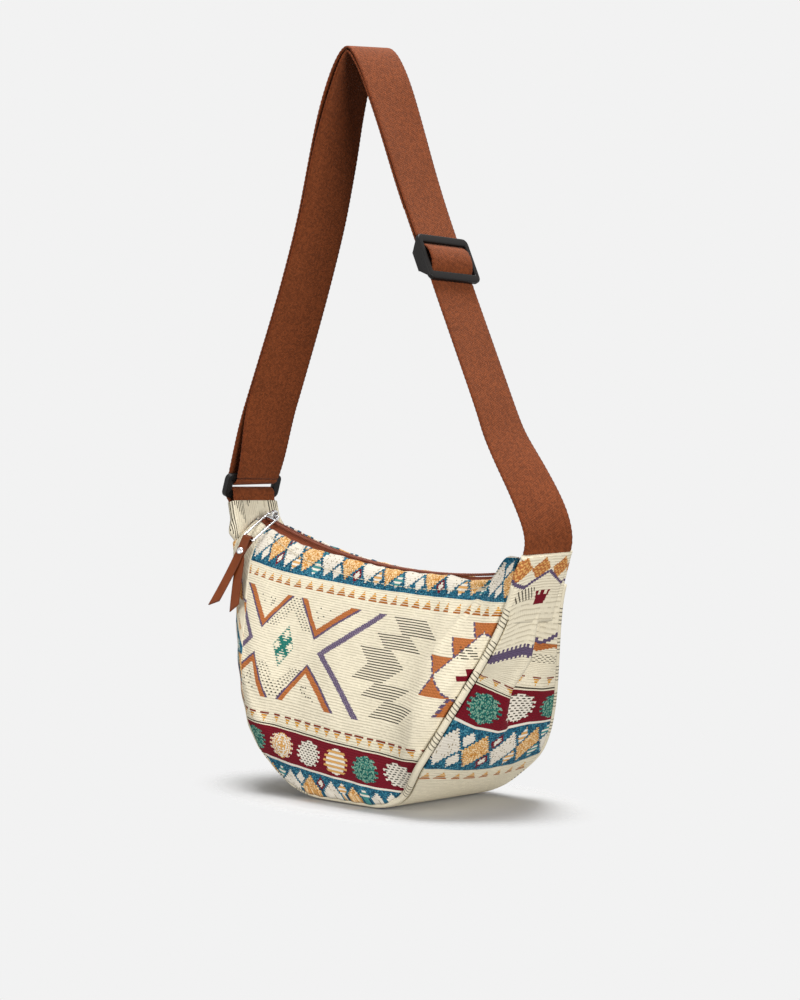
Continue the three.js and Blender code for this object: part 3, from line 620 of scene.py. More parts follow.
@dataclass(frozen=True)
class Jacquard:
    """The patterned cloth: bands of geometric motifs woven on a ribbed cream ground."""

    name: str = "jacquard"
    bands: Bands = Bands()
    rib: float = 1.7
    pick: float = 0.62
    cell_middle: float = -59.0
    half_width: float = 172.0
    small_pitch: float = 9.6
    medallion_pitch: float = 25.7
    medallion_start: float = -84.6
    lozenge_pitch: float = 18.8
    lozenge_start: float = -108.1
    small_half: float = 3.6
    chevron_at: float = 23.3
    chevron_slopes: Pair = (-0.774, 1.29)
    diamond: Pair = (7.8, 14.6)
    angle_at: float = 33.0
    angle_slope: float = 1.265
    angle_half: float = 3.2
    hatch_block: float = 10.9
    step_block: float = 12.3
    step_at: float = 141.5
    medallion: Pair = (11.0, 9.5917)
    lozenge: Pair = (9.4, 0.84)
    small_lozenge: Pair = (4.2, 0.38)
    cut: Cut = Cut.FRONT

    def build(self) -> Paint:
        """Makes the material.

        Returns:
            The material.
        """
        graph = Graph(self.name)
        weave = Weave(graph, self.bands, self.rib, self.pick)
        ends = (self._side_stripe, self._tab_figures)
        field = (self._chevrons, self._diamond, self._angle, self._hatching, self._steps)
        motifs = ends if self.cut is Cut.SIDE else field
        for layer in (self._small_rows, *motifs, self._medallions, self._lozenges):
            layer(weave)
        graph.dress(graph.scaled(weave.colour, weave.tone()), 0.9, weave.height(), 0.55)
        graph.constant({"Sheen Weight": 0.05, "Specular IOR Level": 0.08})
        return graph.material

    def _cell(self, weave: Weave) -> tuple[Value, Value]:
        """Place in the tall field: distance from its middle line, and height above or below its middle."""
        return (weave.u - self.cell_middle).folded(self.half_width), abs(weave.down - self.bands.middle)

    def _small_rows(self, weave: Weave) -> None:
        """Rows of small barred triangles above and below the field.

        Args:
            weave: The cloth's threads.
        """
        b, down = self.bands, weave.down
        bar = weave.line(self.rib * 0.72)
        cell = (weave.u / self.small_pitch).floor()
        size = 0.75 + 0.5 * weave.graph.random(cell, (weave.v / b.repeat).floor())
        across = abs(weave.u % self.small_pitch - self.small_pitch / 2)
        for tips, bases in ((b.small_tips, b.small_bases), (b.low_tips, b.low_bases)):
            share = (down - tips) / (bases - tips)
            shape = (across < share * size * self.small_half) & share.between(0, 1) & bar
            weave.lay(shape, weave.graph.mix(share > 0.6, srgb(206, 146, 44), srgb(158, 90, 26)))
        base = down.near(b.low_bases + 0.9, 0.8)
        weave.lay(base & bar & (across < 3.2 * size), srgb(120, 50, 34))

    def _side_stripe(self, weave: Weave) -> None:
        """What the ends show of the field: a purple stripe at the front, orange steps and dashes behind it.

        Args:
            weave: The cloth's threads.
        """
        u, down = weave.u, weave.down
        front = u < 51.0
        tooth = ((u % 2.4) < 1.2) * 1.6
        stripe = (down - tooth).near(66.7, 3.9) & front & (weave.v > -200.0)
        weave.lay(stripe, weave.slanting(Yarn.PURPLE, 0.82, 1.2))
        wedge = abs((u % 17.0) - 8.5) * 0.5
        steps = (down > 64.0) & (down < 70.5 - wedge) & ~front
        weave.lay(steps, weave.slanting(Yarn.ORANGE, 0.82, 1.16))
        weave.lay((down + wedge).near(64.0, 0.9) & ~front, Yarn.PURPLE)
        weave.lay(weave.dashes(3.0, 1.5, 0.75) & down.between(73.0, 82.0) & ~front, Yarn.INK)

    def _tab_figures(self, weave: Weave) -> None:
        """Ochre diamonds, a purple zigzag, a red crown and upright lines, near the tabs only.

        Args:
            weave: The cloth's threads.
        """
        u, v, down = weave.u, weave.v, weave.down
        near_tab = (v > -20.0) | (v < -440.0)
        leaning = (u - 51.9).folded(12.3)
        reach = abs(leaning - 6.6) / 6.0 + abs(down - 29.6) / 6.8
        lattice = (((u + v) % 2.6) < 1.0) | (((u - v) % 2.6) < 1.0)
        weave.lay((reach < 1.0) & near_tab, weave.graph.mix(lattice, Yarn.OCHRE, srgb(172, 106, 58)))
        weave.lay((down - 0.66 * leaning).near(31.6, 1.0) & near_tab, Yarn.PURPLE)
        aside, high = abs(u - 52.3), down - 46.6
        crown = (aside < 3.9 - 0.25 * high) & (abs(high) < 3.5)
        notch = aside.near(2.0, 0.8) & (high < -0.4)
        weave.lay(crown & ~notch & near_tab, Yarn.WINE)
        line = ((weave.u_raw - 0.4 * down) % 1.7) < 0.6
        weave.lay(line & u.between(36.5, 46.5) & down.between(41.0, 48.5) & near_tab, Yarn.INK)

    def _chevrons(self, weave: Weave) -> None:
        """Orange chevrons with a purple edge, dots inside them and graded dashes beside them.

        Args:
            weave: The cloth's threads.
        """
        across, height = self._cell(weave)
        offset = across - self.chevron_at
        left, right = self.chevron_slopes
        inside = height < self.bands.field_reach

        def opening(tip: float) -> Value:
            """1 in the opening of a chevron whose tip is at some height."""
            rise = height - tip
            return (offset > left * rise) & (offset < right * rise)

        beside = opening(-5.0) & ~opening(8.0) & (offset < 0) & height.between(13.0, 34.0)
        weave.lay(beside & weave.dashes(3.0, 1.1, 0.75), Yarn.INK)
        weave.lay(opening(8.3) & ~opening(10.4) & inside, Yarn.PURPLE)
        weave.lay(opening(10.4) & ~opening(15.4) & inside, weave.slanting(Yarn.ORANGE, 0.86, 1.12))
        scatter = weave.graph.random((weave.u / 2.2).floor(), (weave.v / self.rib).floor()) < 0.24
        dots = opening(21.0) & (height < 32.0) & scatter & ((weave.u % 2.2) < 1.3)
        weave.lay(dots & weave.line(0.8), Yarn.INK)

    def _diamond(self, weave: Weave) -> None:
        """A stepped green diamond with a crossed middle.

        Args:
            weave: The cloth's threads.
        """
        across, height = self._cell(weave)
        whole = (across / self.diamond[0] + height / self.diamond[1]) < 1.0
        hole = (abs(across - 5.0) / 2.4 + height / 2.6) < 1.0
        hole = hole | ((across / 2.0 + abs(height - 8.4) / 3.2) < 1.0)
        ribs = weave.line(self.rib * 0.6) | (abs(across * 1.4 - height) < 2.0)
        weave.lay(whole & ~hole & ribs, weave.slanting(Yarn.GREEN, 0.8, 1.2))

    def _angle(self, weave: Weave) -> None:
        """The purple angle beside the chevrons.

        Args:
            weave: The cloth's threads.
        """
        across, height = self._cell(weave)
        angle = (across - self.angle_slope * height).near(self.angle_at, self.angle_half)
        thread = ((weave.u + weave.v) % 2.1) < 1.4
        purple = weave.graph.mix(thread, srgb(132, 118, 136), Yarn.PURPLE)
        weave.lay(angle & (height < self.bands.field_reach), purple)

    def _hatching(self, weave: Weave) -> None:
        """Leaning blocks of dark lines.

        Args:
            weave: The cloth's threads.
        """
        across, _ = self._cell(weave)
        block = self.hatch_block
        height = abs(weave.down - 49.5)
        step, inner = (height / block).floor(), height % block
        left = 75.0 + 11.5 * step - inner
        right = 108.0 + 12.0 * step - 1.5 * inner
        weave.lay(across.between(left, right) & (height < 3 * block) & weave.line(0.68), Yarn.INK)

    def _steps(self, weave: Weave) -> None:
        """Orange triangles that climb around a wine-red figure, with short dark dashes.

        Args:
            weave: The cloth's threads.
        """
        across, _ = self._cell(weave)
        block = self.step_block
        height = abs(weave.down - 48.6)
        step, inner = (height / block).floor(), height % block
        tip = self.step_at + 13.0 * step
        left, right = tip - 0.65 * inner, tip + 1.05 * inner
        near = height < 35.0
        weave.lay(across.between(left, right) & near, weave.slanting(Yarn.ORANGE, 0.82, 1.16))
        edge = across.near(left, 0.9) | across.near(right, 0.9)
        dotted = (weave.v % (2 * self.rib)) < self.rib * 1.3
        weave.lay(edge & near & dotted, Yarn.PURPLE)
        dashes = across.between(157.0, 169.0) & height.between(11.0, 20.0) & weave.line(0.7)
        weave.lay(dashes & (((weave.u + weave.v) % 7.0) < 5.0), Yarn.INK)
        inwards = self.half_width - across
        crown = ((inwards < 13.0) & (height < 2.0)) | ((inwards < 9.0) & height.between(2.0, 6.0))
        weave.lay(crown & ~((inwards < 2.0) & (height > 3.5)), Yarn.WINE)

    def _medallions(self, weave: Weave) -> None:
        """The wine-red band between lines, with a row of serrated medallions of four kinds.

        Args:
            weave: The cloth's threads.
        """
        mix, b, down = weave.graph.mix, self.bands, weave.down
        weave.lay(down.near(b.lines, 0.45) | down.near(b.lines + 1.5, 0.3), Yarn.INK)
        weave.lay(down.between(b.wine, b.white), weave.slanting(Yarn.WINE, 0.85, 1.15))
        weave.lay(down.between(b.white, b.blue), Yarn.WHITE)
        pitch = self.medallion_pitch
        along = weave.u - self.medallion_start
        kind = (along / pitch).floor() % 6.0
        height = abs(down - (b.wine + b.white) / 2)
        reach = abs(along % pitch - pitch / 2) + weave.odd * 2.3
        wide, high = self.medallion[0] ** 2, self.medallion[1] ** 2
        inside = (reach * reach / wide + height * height / high) < 1.0
        ring = ((reach * reach + height * height) / 14.0).floor() % 2.0
        green = mix(weave.speck > 0.62, Yarn.GREEN, srgb(128, 166, 144))
        green = mix(weave.speck < 0.24, green, srgb(26, 74, 72))
        face = mix(kind.near(1.0, 0.5), green, mix(ring, Yarn.OCHRE, Yarn.WHITE))
        dashed = mix(weave.dashes(3.2, 1.7, 0.8), Yarn.WHITE, Yarn.INK)
        face = mix(kind.near(2.0, 0.5) | kind.near(5.0, 0.5), face, dashed)
        face = mix(kind.near(3.0, 0.5), face, mix(weave.odd, Yarn.OCHRE, Yarn.WHITE))
        weave.lay(inside, face)

    def _lozenges(self, weave: Weave) -> None:
        """The blue band: large lozenges of ochre and white, with small ones of four kinds between.

        Args:
            weave: The cloth's threads.
        """
        mix, b, speck = weave.graph.mix, self.bands, weave.speck
        half = (b.repeat - b.blue) / 2
        height = (weave.down - b.blue - half) / half
        blue = mix(speck < 0.35, Yarn.BLUE, Yarn.NAVY)
        weave.lay(height.between(-1.0, 1.0), mix(speck > 0.86, blue, srgb(74, 138, 156)))
        pitch = self.lozenge_pitch
        leaning = weave.u - self.lozenge_start + 4.0 * height
        cell = (leaning / pitch).floor()
        across = abs(leaning % pitch - pitch / 2)
        tooth = ((weave.v % self.rib) < self.rib * 0.45) * 0.9
        large = ((across + tooth) / self.lozenge[0] + abs(height) / self.lozenge[1]) < 1.0
        ochre = mix(speck > 0.66, Yarn.OCHRE, srgb(236, 206, 160))
        ochre = mix(speck < 0.13, ochre, Yarn.AMBER)
        white = mix(speck < 0.07, Yarn.WHITE, Yarn.PAINTED_SHADE_AND_FLECK)
        weave.lay(large, mix((cell % 2.0) > 0.5, ochre, white))
        between = leaning + pitch / 2
        kind = (between / pitch).floor() % 4.0
        aside = abs(between % pitch - pitch / 2)
        wide, high = self.small_lozenge
        reach = (aside + 0.6 * tooth) / wide + abs(abs(height) - 0.5) / high
        face = mix(kind.near(1.0, 0.5), Yarn.WHITE, mix(reach > 0.62, Yarn.WHITE, Yarn.WINE))
        face = mix(kind.near(2.0, 0.5), face, mix(weave.odd, Yarn.WHITE, Yarn.OCHRE))
        face = mix(kind > 2.5, face, mix(weave.odd, Yarn.WHITE, srgb(70, 140, 138)))
        weave.lay((reach < 1.0) & (abs(height) < 0.97), face)


# Other finishes.


@dataclass(frozen=True)
class PipingCloth:
    """Cream cloth around the piping cord, with groups of dark threads across it."""

    name: str = "piping"

    def build(self) -> Paint:
        """Makes the material.

        Returns:
            The material.
        """
        graph = Graph(self.name)
        around, along = graph.cloth()
        group = graph.random((along / 21.0).floor(), around * 0.0) < 0.62
        line = ((along + around * 0.25) % 2.6) < 0.75
        dark = group & line & ((along % 21.0) < 13.0)
        colour = graph.mix(dark * 0.85, Yarn.CREAM, Yarn.INK)
        thread = ((along - around) * (2 * math.pi / 1.3)).sine()
        # Painted shade: the colour is a little darker between the threads, where their relief is low; the
        # clouds vary it at random.
        shade = 0.92 + 0.05 * thread + 0.08 * graph.noise(60.0)
        graph.dress(graph.scaled(colour, shade), 0.9, 0.12 * thread, 0.4)
        graph.constant({"Sheen Weight": 0.05, "Specular IOR Level": 0.08})
        return graph.material


@dataclass(frozen=True)
class Webbing:
    """Chestnut woven webbing: fine slanting ribs, and loops of thread along both edges."""

    name: str = "webbing"
    pitch: float = 1.25
    half_width: float = 19.0

    def build(self) -> Paint:
        """Makes the material.

        Returns:
            The material.
        """
        graph = Graph(self.name)
        across, along = graph.cloth()
        column = (across / self.pitch).floor()
        lift = (column % 2.0) * (self.pitch / 2)
        warp = (across * (2 * math.pi / self.pitch)).sine()
        weft = ((along + lift) * (2 * math.pi / self.pitch)).sine()
        speck = graph.random(column, ((along + lift) / self.pitch).floor())
        edge = abs(across) > self.half_width - 1.3
        relief = 0.5 * warp * weft + 0.5 * speck
        # Painted shade: the colour is darker where the weave's relief is low; the specks and clouds vary it
        # at random.
        shade = 0.56 + 0.3 * relief + 0.26 * speck + 0.22 * graph.noise(25.0, 3.0)
        brown = graph.mix(graph.noise(9.0, 2.0), srgb(119, 59, 29), srgb(132, 70, 37))
        brown = graph.mix(edge * 0.5, brown, srgb(104, 46, 20))
        graph.dress(graph.scaled(brown, shade), 0.9, 0.25 * relief, 0.8)
        graph.constant({"Sheen Weight": 0.05, "Specular IOR Level": 0.12})
        return graph.material


@dataclass(frozen=True)
class Leather:
    """Smooth tan leather with a fine grain, darker where it is cut."""

    name: str = "leather"
    half_width: float = 3.5

    def build(self) -> Paint:
        """Makes the material.

        Returns:
            The material.
        """
        graph = Graph(self.name)
        across, _ = graph.cloth()
        inputs = {"Vector": graph.place(), "Scale": 1500.0}
        grain = graph.node("ShaderNodeTexVoronoi", {"feature": "F1"}, inputs)
        pores = graph.value(grain.outputs["Distance"])
        cloud = graph.noise(120.0, 4.0)
        tan = graph.mix(cloud, srgb(92, 40, 12), srgb(120, 58, 22))
        edge = abs(across) > self.half_width - 0.45
        tan = graph.mix(edge * 0.6, tan, srgb(92, 46, 24))
        graph.dress(tan, 0.36 + 0.22 * cloud, 0.10 * pores, 0.35)
        graph.constant({"Specular IOR Level": 0.2})
        return graph.material


@dataclass(frozen=True)
class ZipCloth:
    """Brown zip tape, with fine lines woven along it and painted shade between them."""

    name: str = "zip_tape"

    def build(self) -> Paint:
        """Makes the material.

        Returns:
            The material.
        """
        graph = Graph(self.name)
        across, along = graph.cloth()
        line = (across * (2 * math.pi / 1.5)).sine()
        thread = (along * (2 * math.pi / 0.9)).sine()
        # Painted shade: the colour is darker in the grooves between the woven lines; the clouds vary it at
        # random.
        shade = 0.86 + 0.22 * line + 0.05 * thread + 0.1 * graph.noise(80.0)
        graph.dress(graph.scaled(srgb(132, 66, 40), shade), 0.85, 0.15 * line + 0.05 * thread, 0.5)
        graph.constant({"Specular IOR Level": 0.25})
        return graph.material


@dataclass(frozen=True)
class PlainFinish:
    """A cloudy tone without a pattern, for metal, plastic and thread.

    Clouds and smears, which make the tone and the roughness uneven, each have a scale and a detail.
    """

    name: str
    dark: Colour
    light: Colour
    clouds: Pair
    roughness: float
    spread: float = 0.0
    smears: Pair = (900.0, 2.0)
    grain: float = 0.0
    depth: float = 0.0
    metallic: float = 0.0
    specular: float = 0.5

    def build(self) -> Paint:
        """Makes the material.

        Returns:
            The material.
        """
        graph = Graph(self.name)
        tone = graph.mix(graph.noise(*self.clouds), self.dark, self.light)
        height = 0.05 * graph.noise(self.grain) if self.grain else None
        uneven = self.spread * graph.noise(*self.smears) if self.spread else 0.0
        graph.dress(tone, self.roughness + uneven, height, self.depth)
        graph.constant({"Metallic": self.metallic, "Specular IOR Level": self.specular})
        return graph.material


COIL = PlainFinish(
    "zip_coil", srgb(118, 56, 34), srgb(146, 76, 48), clouds=(300.0, 2.0), roughness=0.42, spread=0.15
)
METAL = PlainFinish(
    "zip_metal", srgb(198, 199, 201), srgb(222, 222, 222), clouds=(260.0, 4.0), roughness=0.16, spread=0.16,
    smears=(260.0, 4.0), grain=900.0, depth=0.15, metallic=1.0,
)
PLASTIC = PlainFinish(
    "plastic", srgb(12, 9, 8), srgb(20, 17, 16), clouds=(160.0, 3.0), roughness=0.38, spread=0.2,
    smears=(160.0, 3.0), grain=2600.0, depth=0.2, specular=0.2,
)
THREAD = PlainFinish(
    "thread", srgb(196, 184, 156), srgb(228, 218, 194), clouds=(500.0, 2.0), roughness=0.85
)


@dataclass(frozen=True)
class LiningCloth:
    """Plain woven beige lining."""

    name: str = "lining"
    thread: float = 1.1

    def build(self) -> Paint:
        """Makes the material.

        Returns:
            The material.
        """
        graph = Graph(self.name)
        x, _, z = graph.parts(graph.place())
        turns = 2 * math.pi / (self.thread * MM)
        weave = (x * turns).sine() * (z * turns).sine()
        # Painted shade: the colour is a little darker between the threads, where their relief is low; the
        # clouds vary it at random.
        shade = 0.9 + 0.06 * weave + 0.1 * graph.noise(40.0)
        graph.dress(graph.scaled(srgb(205, 192, 166), shade), 0.92, 0.1 * weave, 0.3)
        return graph.material


# The form of the sewn body.


@dataclass
class BagForm:
    """The surfaces that the body's pieces share: the strip around it, its seams, panels and zip line."""

    reach_left: float = 137.0
    reach_right: float = 140.0
    tab_left: float = 185.0
    tab_right: float = 163.0
    base_left: float = 13.0
    base_right: float = 35.0
    base_half: float = 46.0
    belly_left: float = 52.0
    belly_right: float = 57.0
    belly_turn: float = 60.0
    belly_fade: Pair = (0.13, 0.87)
    base_fade: Pair = (0.0, 0.2)
    tab_half: float = 20.5
    flare_left: float = 40.0
    flare_right: float = 26.5
    shoulder_left: float = 35.0
    shoulder_right: float = 84.0
    foot_run_left: float = 51.0
    foot_run_right: float = 67.0
    foot_rise_left: float = 1.0
    foot_rise_right: float = 6.0
    seam_room: float = 2.5
    end_wrap: float = 3.6
    wrap_heights: Numbers = (0.0, 0.12, 0.3, 0.75)
    crease_depth: float = 7.5
    crease_ends: Numbers = (28.0, 50.0, 96.0, 132.0)
    crease_down: Numbers = (37.0, 46.0, 58.6, 71.0, 82.0, 91.0, 104.0, 118.0)
    crease_across: Numbers = (0.25, 0.17, 0.19, 0.21, 0.03, -0.09, -0.04, 0.07)
    bulge: float = 13.0
    fullness: float = 0.7
    fabric: float = 1.8
    zip_radius: float = 485.0
    zip_low: Pair = (60.0, 145.0)
    zip_left: float = -122.0
    zip_right: float = 100.0
    mouth_half: float = 7.6
    mouth_rise: float = -1.8
    corner_run: float = 20.0
    corner_rise: float = 12.0
    seam_start: float = 0.0468
    seam_ease: float = 0.45

    def __post_init__(self) -> None:
        """Draws the outline, from the left tab under the bag to the right one."""
        left = bezier(
            (-self.reach_left, self.tab_left),
            (-self.reach_left + self.flare_left, self.shoulder_left),
            (-self.base_left - self.foot_run_left, self.foot_rise_left),
            (-self.base_left, 0.0),
            400,
        )
        right = bezier(
            (self.base_right, 0.0),
            (self.base_right + self.foot_run_right, self.foot_rise_right),
            (self.reach_right - self.flare_right, self.shoulder_right),
            (self.reach_right, self.tab_right),
            400,
        )
        bottom = np.linspace(left[-1], right[0], 120)[1:-1]
        self.line = np.vstack([left, bottom, right])
        self.along = lengths(self.line)
        self.length = self.along[-1]

    def edge(self, share: Points) -> tuple[Points, ...]:
        """The outline at a share of its length.

        Args:
            share: From 0 at the left tab to 1 at the right tab.

        Returns:
            x, z, the two parts of the inward direction, the height as a share of the tab's, and the side.
        """
        share = np.asarray(share, float)

        def at(part: Points) -> Points:
            """The outline's points at shares of its length."""
            places = np.clip(part, 0, 1) * self.length
            return np.stack([np.interp(places, self.along, self.line[:, k]) for k in (0, 1)], -1)

        point = at(share)
        way = unit(at(share + 0.003) - at(share - 0.003))
        height = point[..., 1] / np.where(point[..., 0] < 0, self.tab_left, self.tab_right)
        return point[..., 0], point[..., 1], -way[..., 1], way[..., 0], height, np.sign(point[..., 0])

    def belly(self, x: Points) -> Points:
        """Half the depth at the bag's deepest, which differs from end to end."""
        share = smooth((-self.belly_turn, self.belly_turn), x)
        return self.belly_left + (self.belly_right - self.belly_left) * share

    def half_depth(self, x: Points, height: Points) -> Points:
        """Half the depth between the seams.

        Args:
            x: Place along the bag.
            height: Height as a share of the tab's.

        Returns:
            Distances.
        """
        narrow = self.tab_half + self.seam_room
        belly = self.belly(x)
        wide = narrow + (belly - narrow) * (1 - smooth(self.belly_fade, height))
        return wide - (belly - self.base_half) * (1 - smooth(self.base_fade, height))

    def wrap(self, height: Points) -> Points:
        """How far the ends round off towards their seams."""
        return self.end_wrap * plateau(self.wrap_heights, height)

    def gusset(self, share: Points, across: Points) -> Points:
        """The strip's outer face.

        Args:
            share: Along it, from 0 to 1.
            across: From -1 at the front to 1 at the back.

        Returns:
            Points.
        """
        x, z, inx, inz, height, side = self.edge(share)
        down = np.minimum(share, 1 - share) * self.length
        behind = across - np.interp(down, self.crease_down, self.crease_across)
        fold = plateau((-0.03, 0.1, 0.1, 0.8), behind) - 0.2 * hump(behind, -0.12, 0.1)
        fold = self.crease_depth * plateau(self.crease_ends, down) * fold
        wrap = self.wrap(height) * across * across
        half = self.half_depth(x, height) - self.seam_room
        return np.stack([x + inx * fold - side * wrap, half * across, z + inz * fold], -1)

    def seam(self, share: Points) -> Points:
        """The middle of the piping in the front seam.

        Args:
            share: Along the outline, from 0 to 1.

        Returns:
            Points.
        """
        x, z, inx, inz, height, side = self.edge(share)
        x = x + inx * self.seam_room - side * self.wrap(height)
        return np.stack([x, -self.half_depth(x, height), z + inz * self.seam_room], -1)

    def zip_angle(self, x: Points) -> Points:
        """The zip arc's angle at a place along x."""
        return np.arcsin((np.asarray(x, float) - self.zip_low[0]) / self.zip_radius)

    def zip_point(self, x: Points, y: Points, rise: Points) -> Points:
        """A point near the zip.

        Args:
            x: Place along the bag where the zip's own line is.
            y: Depth.
            rise: Height above the tape's middle.

        Returns:
            Points.
        """
        angle = self.zip_angle(x)
        radius = self.zip_radius - rise
        px = self.zip_low[0] + radius * np.sin(angle)
        pz = self.zip_low[1] + self.zip_radius - radius * np.cos(angle)
        return np.stack(np.broadcast_arrays(px, y, pz), -1).astype(float)

    def mouth(self, along: Points) -> Points:
        """The front panel's upper edge.

        Args:
            along: From 0 at its left end to 1 at its right end.

        Returns:
            Points.
        """
        run = self.zip_right + self.corner_run - self.zip_left
        x = self.zip_left + run * np.asarray(along, float)
        points = self.zip_point(x, -self.mouth_half, self.mouth_rise)
        points[..., 2] += self.corner_rise * smooth((self.zip_right, self.zip_right + self.corner_run), x)
        return points

    def seam_share(self, along: Points) -> Points:
        """Where a place along the panel meets the outline: the seam falls sooner than the mouth runs on."""
        eased = along + self.seam_ease * np.sin(2 * math.pi * along) / (2 * math.pi)
        return self.seam_start + (1 - 2 * self.seam_start) * eased

    def panel(self, along: Points, down: Points) -> Points:
        """The front panel's outer face.

        Args:
            along: From 0 at its left end to 1 at its right end.
            down: From 0 at the mouth to 1 at the seam.

        Returns:
            Points.
        """
        top = self.mouth(along)
        share = self.seam_share(along)
        seam = self.seam(share)
        way = unit(self.seam(share + 0.004) - self.seam(share - 0.004))
        chord = top - seam
        chord = unit(chord - way * (chord * way).sum(-1, keepdims=True))
        bottom = seam + chord * (self.seam_room + 0.6)
        bottom[..., 1] -= self.fabric / 2
        middle = np.clip(np.sin(math.pi * along), 0, 1)
        high = np.clip(np.sin(math.pi * down), 0, 1)
        swell = (self.bulge * middle**self.fullness + self.fabric) * high**self.fullness
        low = plateau((0.3, 0.85, 0.85, 1), down)
        point = top + (bottom - top) * down[..., None]
        point[..., 1] -= swell + (self.belly(point[..., 0]) - self.base_half) * low * middle
        return point


# The sewn body.


@dataclass
class Body:
    """Jacquard panels, the strip between them, piped seams and the cuffs on the tabs."""

    form: BagForm
    front: Paint
    side: Paint
    piping: Paint
    ply: float = 1.6
    columns: int = 180
    rows: int = 84
    row_ease: float = 1.15
    strip_steps: int = 210
    strip_across: int = 120
    piping_radius: float = 2.2
    level_heights: Numbers = (
        5.5, 19.7, 33.8, 48.0, 62.1, 76.3, 90.4, 104.6, 118.7, 132.9, 147.0, 187.0
    )
    level_lengths: Numbers = (
        -101.0, -84.1, -69.5, -55.2, -40.5, -25.5, -10.3, 4.9, 20.2, 36.0, 53.4, 97.4
    )
    lean: Pair = (12.14, -2.52)
    lean_high: Triple = (-2.7, -1.99, 0.07)
    lean_heights: Pair = (30.0, 135.0)
    dip_levels: Numbers = (-30.0, -58.0, -64.0, -88.0)
    sag: float = 3.0
    hem_stand: Pair = (3.0, 3.5)
    hem_around: float = 12.0
    hem_tuck: Pair = (2.6, 4.6)
    hem_seam: float = 0.7
    hem_roll: float = 0.9
    fold: float = 1.1
    crinkle: float = 0.5
    pucker: float = 0.35
    ridge: float = 1.4
    ripple: float = 0.9
    drift_along: Numbers = (-6.794, -4.82, 6.248, 0.908, 3.46, -1.352)
    drift_up: Numbers = (-1.405, -0.834, 1.715, 0.079, 0.613, -0.52)
    side_levels: Numbers = (20.0, -8.4, -23.5, -31.5, -57.8, -64.0, -87.0, -120.0, -126.0)
    side_across: Numbers = (-1.0, -0.55, -0.1, 0.15, 0.55, 1.0)
    side_reach: tuple[Numbers, ...] = (
        (0.0, 0.0, 0.0, 0.0, 0.0, 0.0),
        (38.0, 32.0, 30.0, 30.0, 30.0, 30.0),
        (65.0, 62.6, 60.6, 61.5, 62.0, 62.0),
        (72.2, 69.8, 67.8, 68.7, 69.0, 69.0),
        (79.0, 85.0, 91.5, 86.0, 86.7, 86.5),
        (84.5, 90.2, 96.2, 94.5, 94.2, 94.6),
        (106.0, 114.0, 118.8, 118.5, 116.8, 116.0),
        (143.0, 147.0, 150.0, 150.6, 149.6, 143.5),
        (149.0, 152.3, 155.5, 156.2, 156.2, 153.5),
    )
    side_slope: float = 1.11
    side_depths: Numbers = (-100.0, -23.7, 13.1, 44.6, 60.0)
    side_lengths: Numbers = (-21.2, 31.4, 56.7, 82.4, 95.0)
    lap_inner: Pairs = (
        (0.038, 0.0), (0.046, 0.11), (0.054, 0.31), (0.062, 0.46), (0.084, 0.59), (0.105, 0.7),
        (0.125, 0.8), (0.15, 0.88), (0.178, 0.93), (0.203, 0.965), (0.232, 0.985), (0.262, 0.998),
    )
    lap_outer: Pairs = (
        (0.0, 0.0), (0.0, 0.15), (0.0, 0.4), (0.0, 0.65), (0.0, 0.88), (0.015, 1.0),
        (0.04, 1.0), (0.07, 1.0), (0.11, 1.0), (0.155, 1.0), (0.205, 1.0), (0.262, 1.0),
    )

    def cloth_level(self, x: Points, z: Points) -> Points:
        """Height on the cloth of a place on the front panel: the cloth hangs askew, so its bands lean.

        Args:
            x: Along the bag.
            z: Height.

        Returns:
            Millimetres up the cloth.
        """
        level = np.interp(z, self.level_heights, self.level_lengths)
        span = x / 100
        low = sum(k * span ** (n + 1) for n, k in enumerate(self.lean))
        high = sum(k * span ** (n + 1) for n, k in enumerate(self.lean_high))
        level = level + low + high * smooth(self.lean_heights, z)
        return level + np.clip(1.4 - 2.6 * span, -1.2, 3.6) * plateau(self.dip_levels, level)

    def front_cloth(self, grid: Points) -> Points:
        """Cloth coordinates of the front panel.

        Args:
            grid: Its points; past the lowest of each column the cloth runs on under the bag.

        Returns:
            Millimetres along and up the cloth.
        """
        x, z = grid[..., 0] / 100, grid[..., 2] / 100
        terms = np.stack([np.ones_like(x), x, z, x * x, x * z, z * z], -1)
        along = grid[..., 0] + terms @ np.array(self.drift_along)
        along = along - 13.0 * smooth((-66, -116), grid[..., 0])
        level = self.cloth_level(along, grid[..., 2] + terms @ np.array(self.drift_up))
        under = np.arange(1, self.rows)[None, :] > np.argmin(grid[..., 2], axis=1)[:, None]
        run = np.linalg.norm(np.diff(grid, axis=1), axis=-1)
        step = np.where(under, -run, np.diff(level, axis=1))
        level = level[:, :1] + np.pad(np.cumsum(step, axis=1), ((0, 0), (1, 0)))
        return np.stack([along, level], -1)

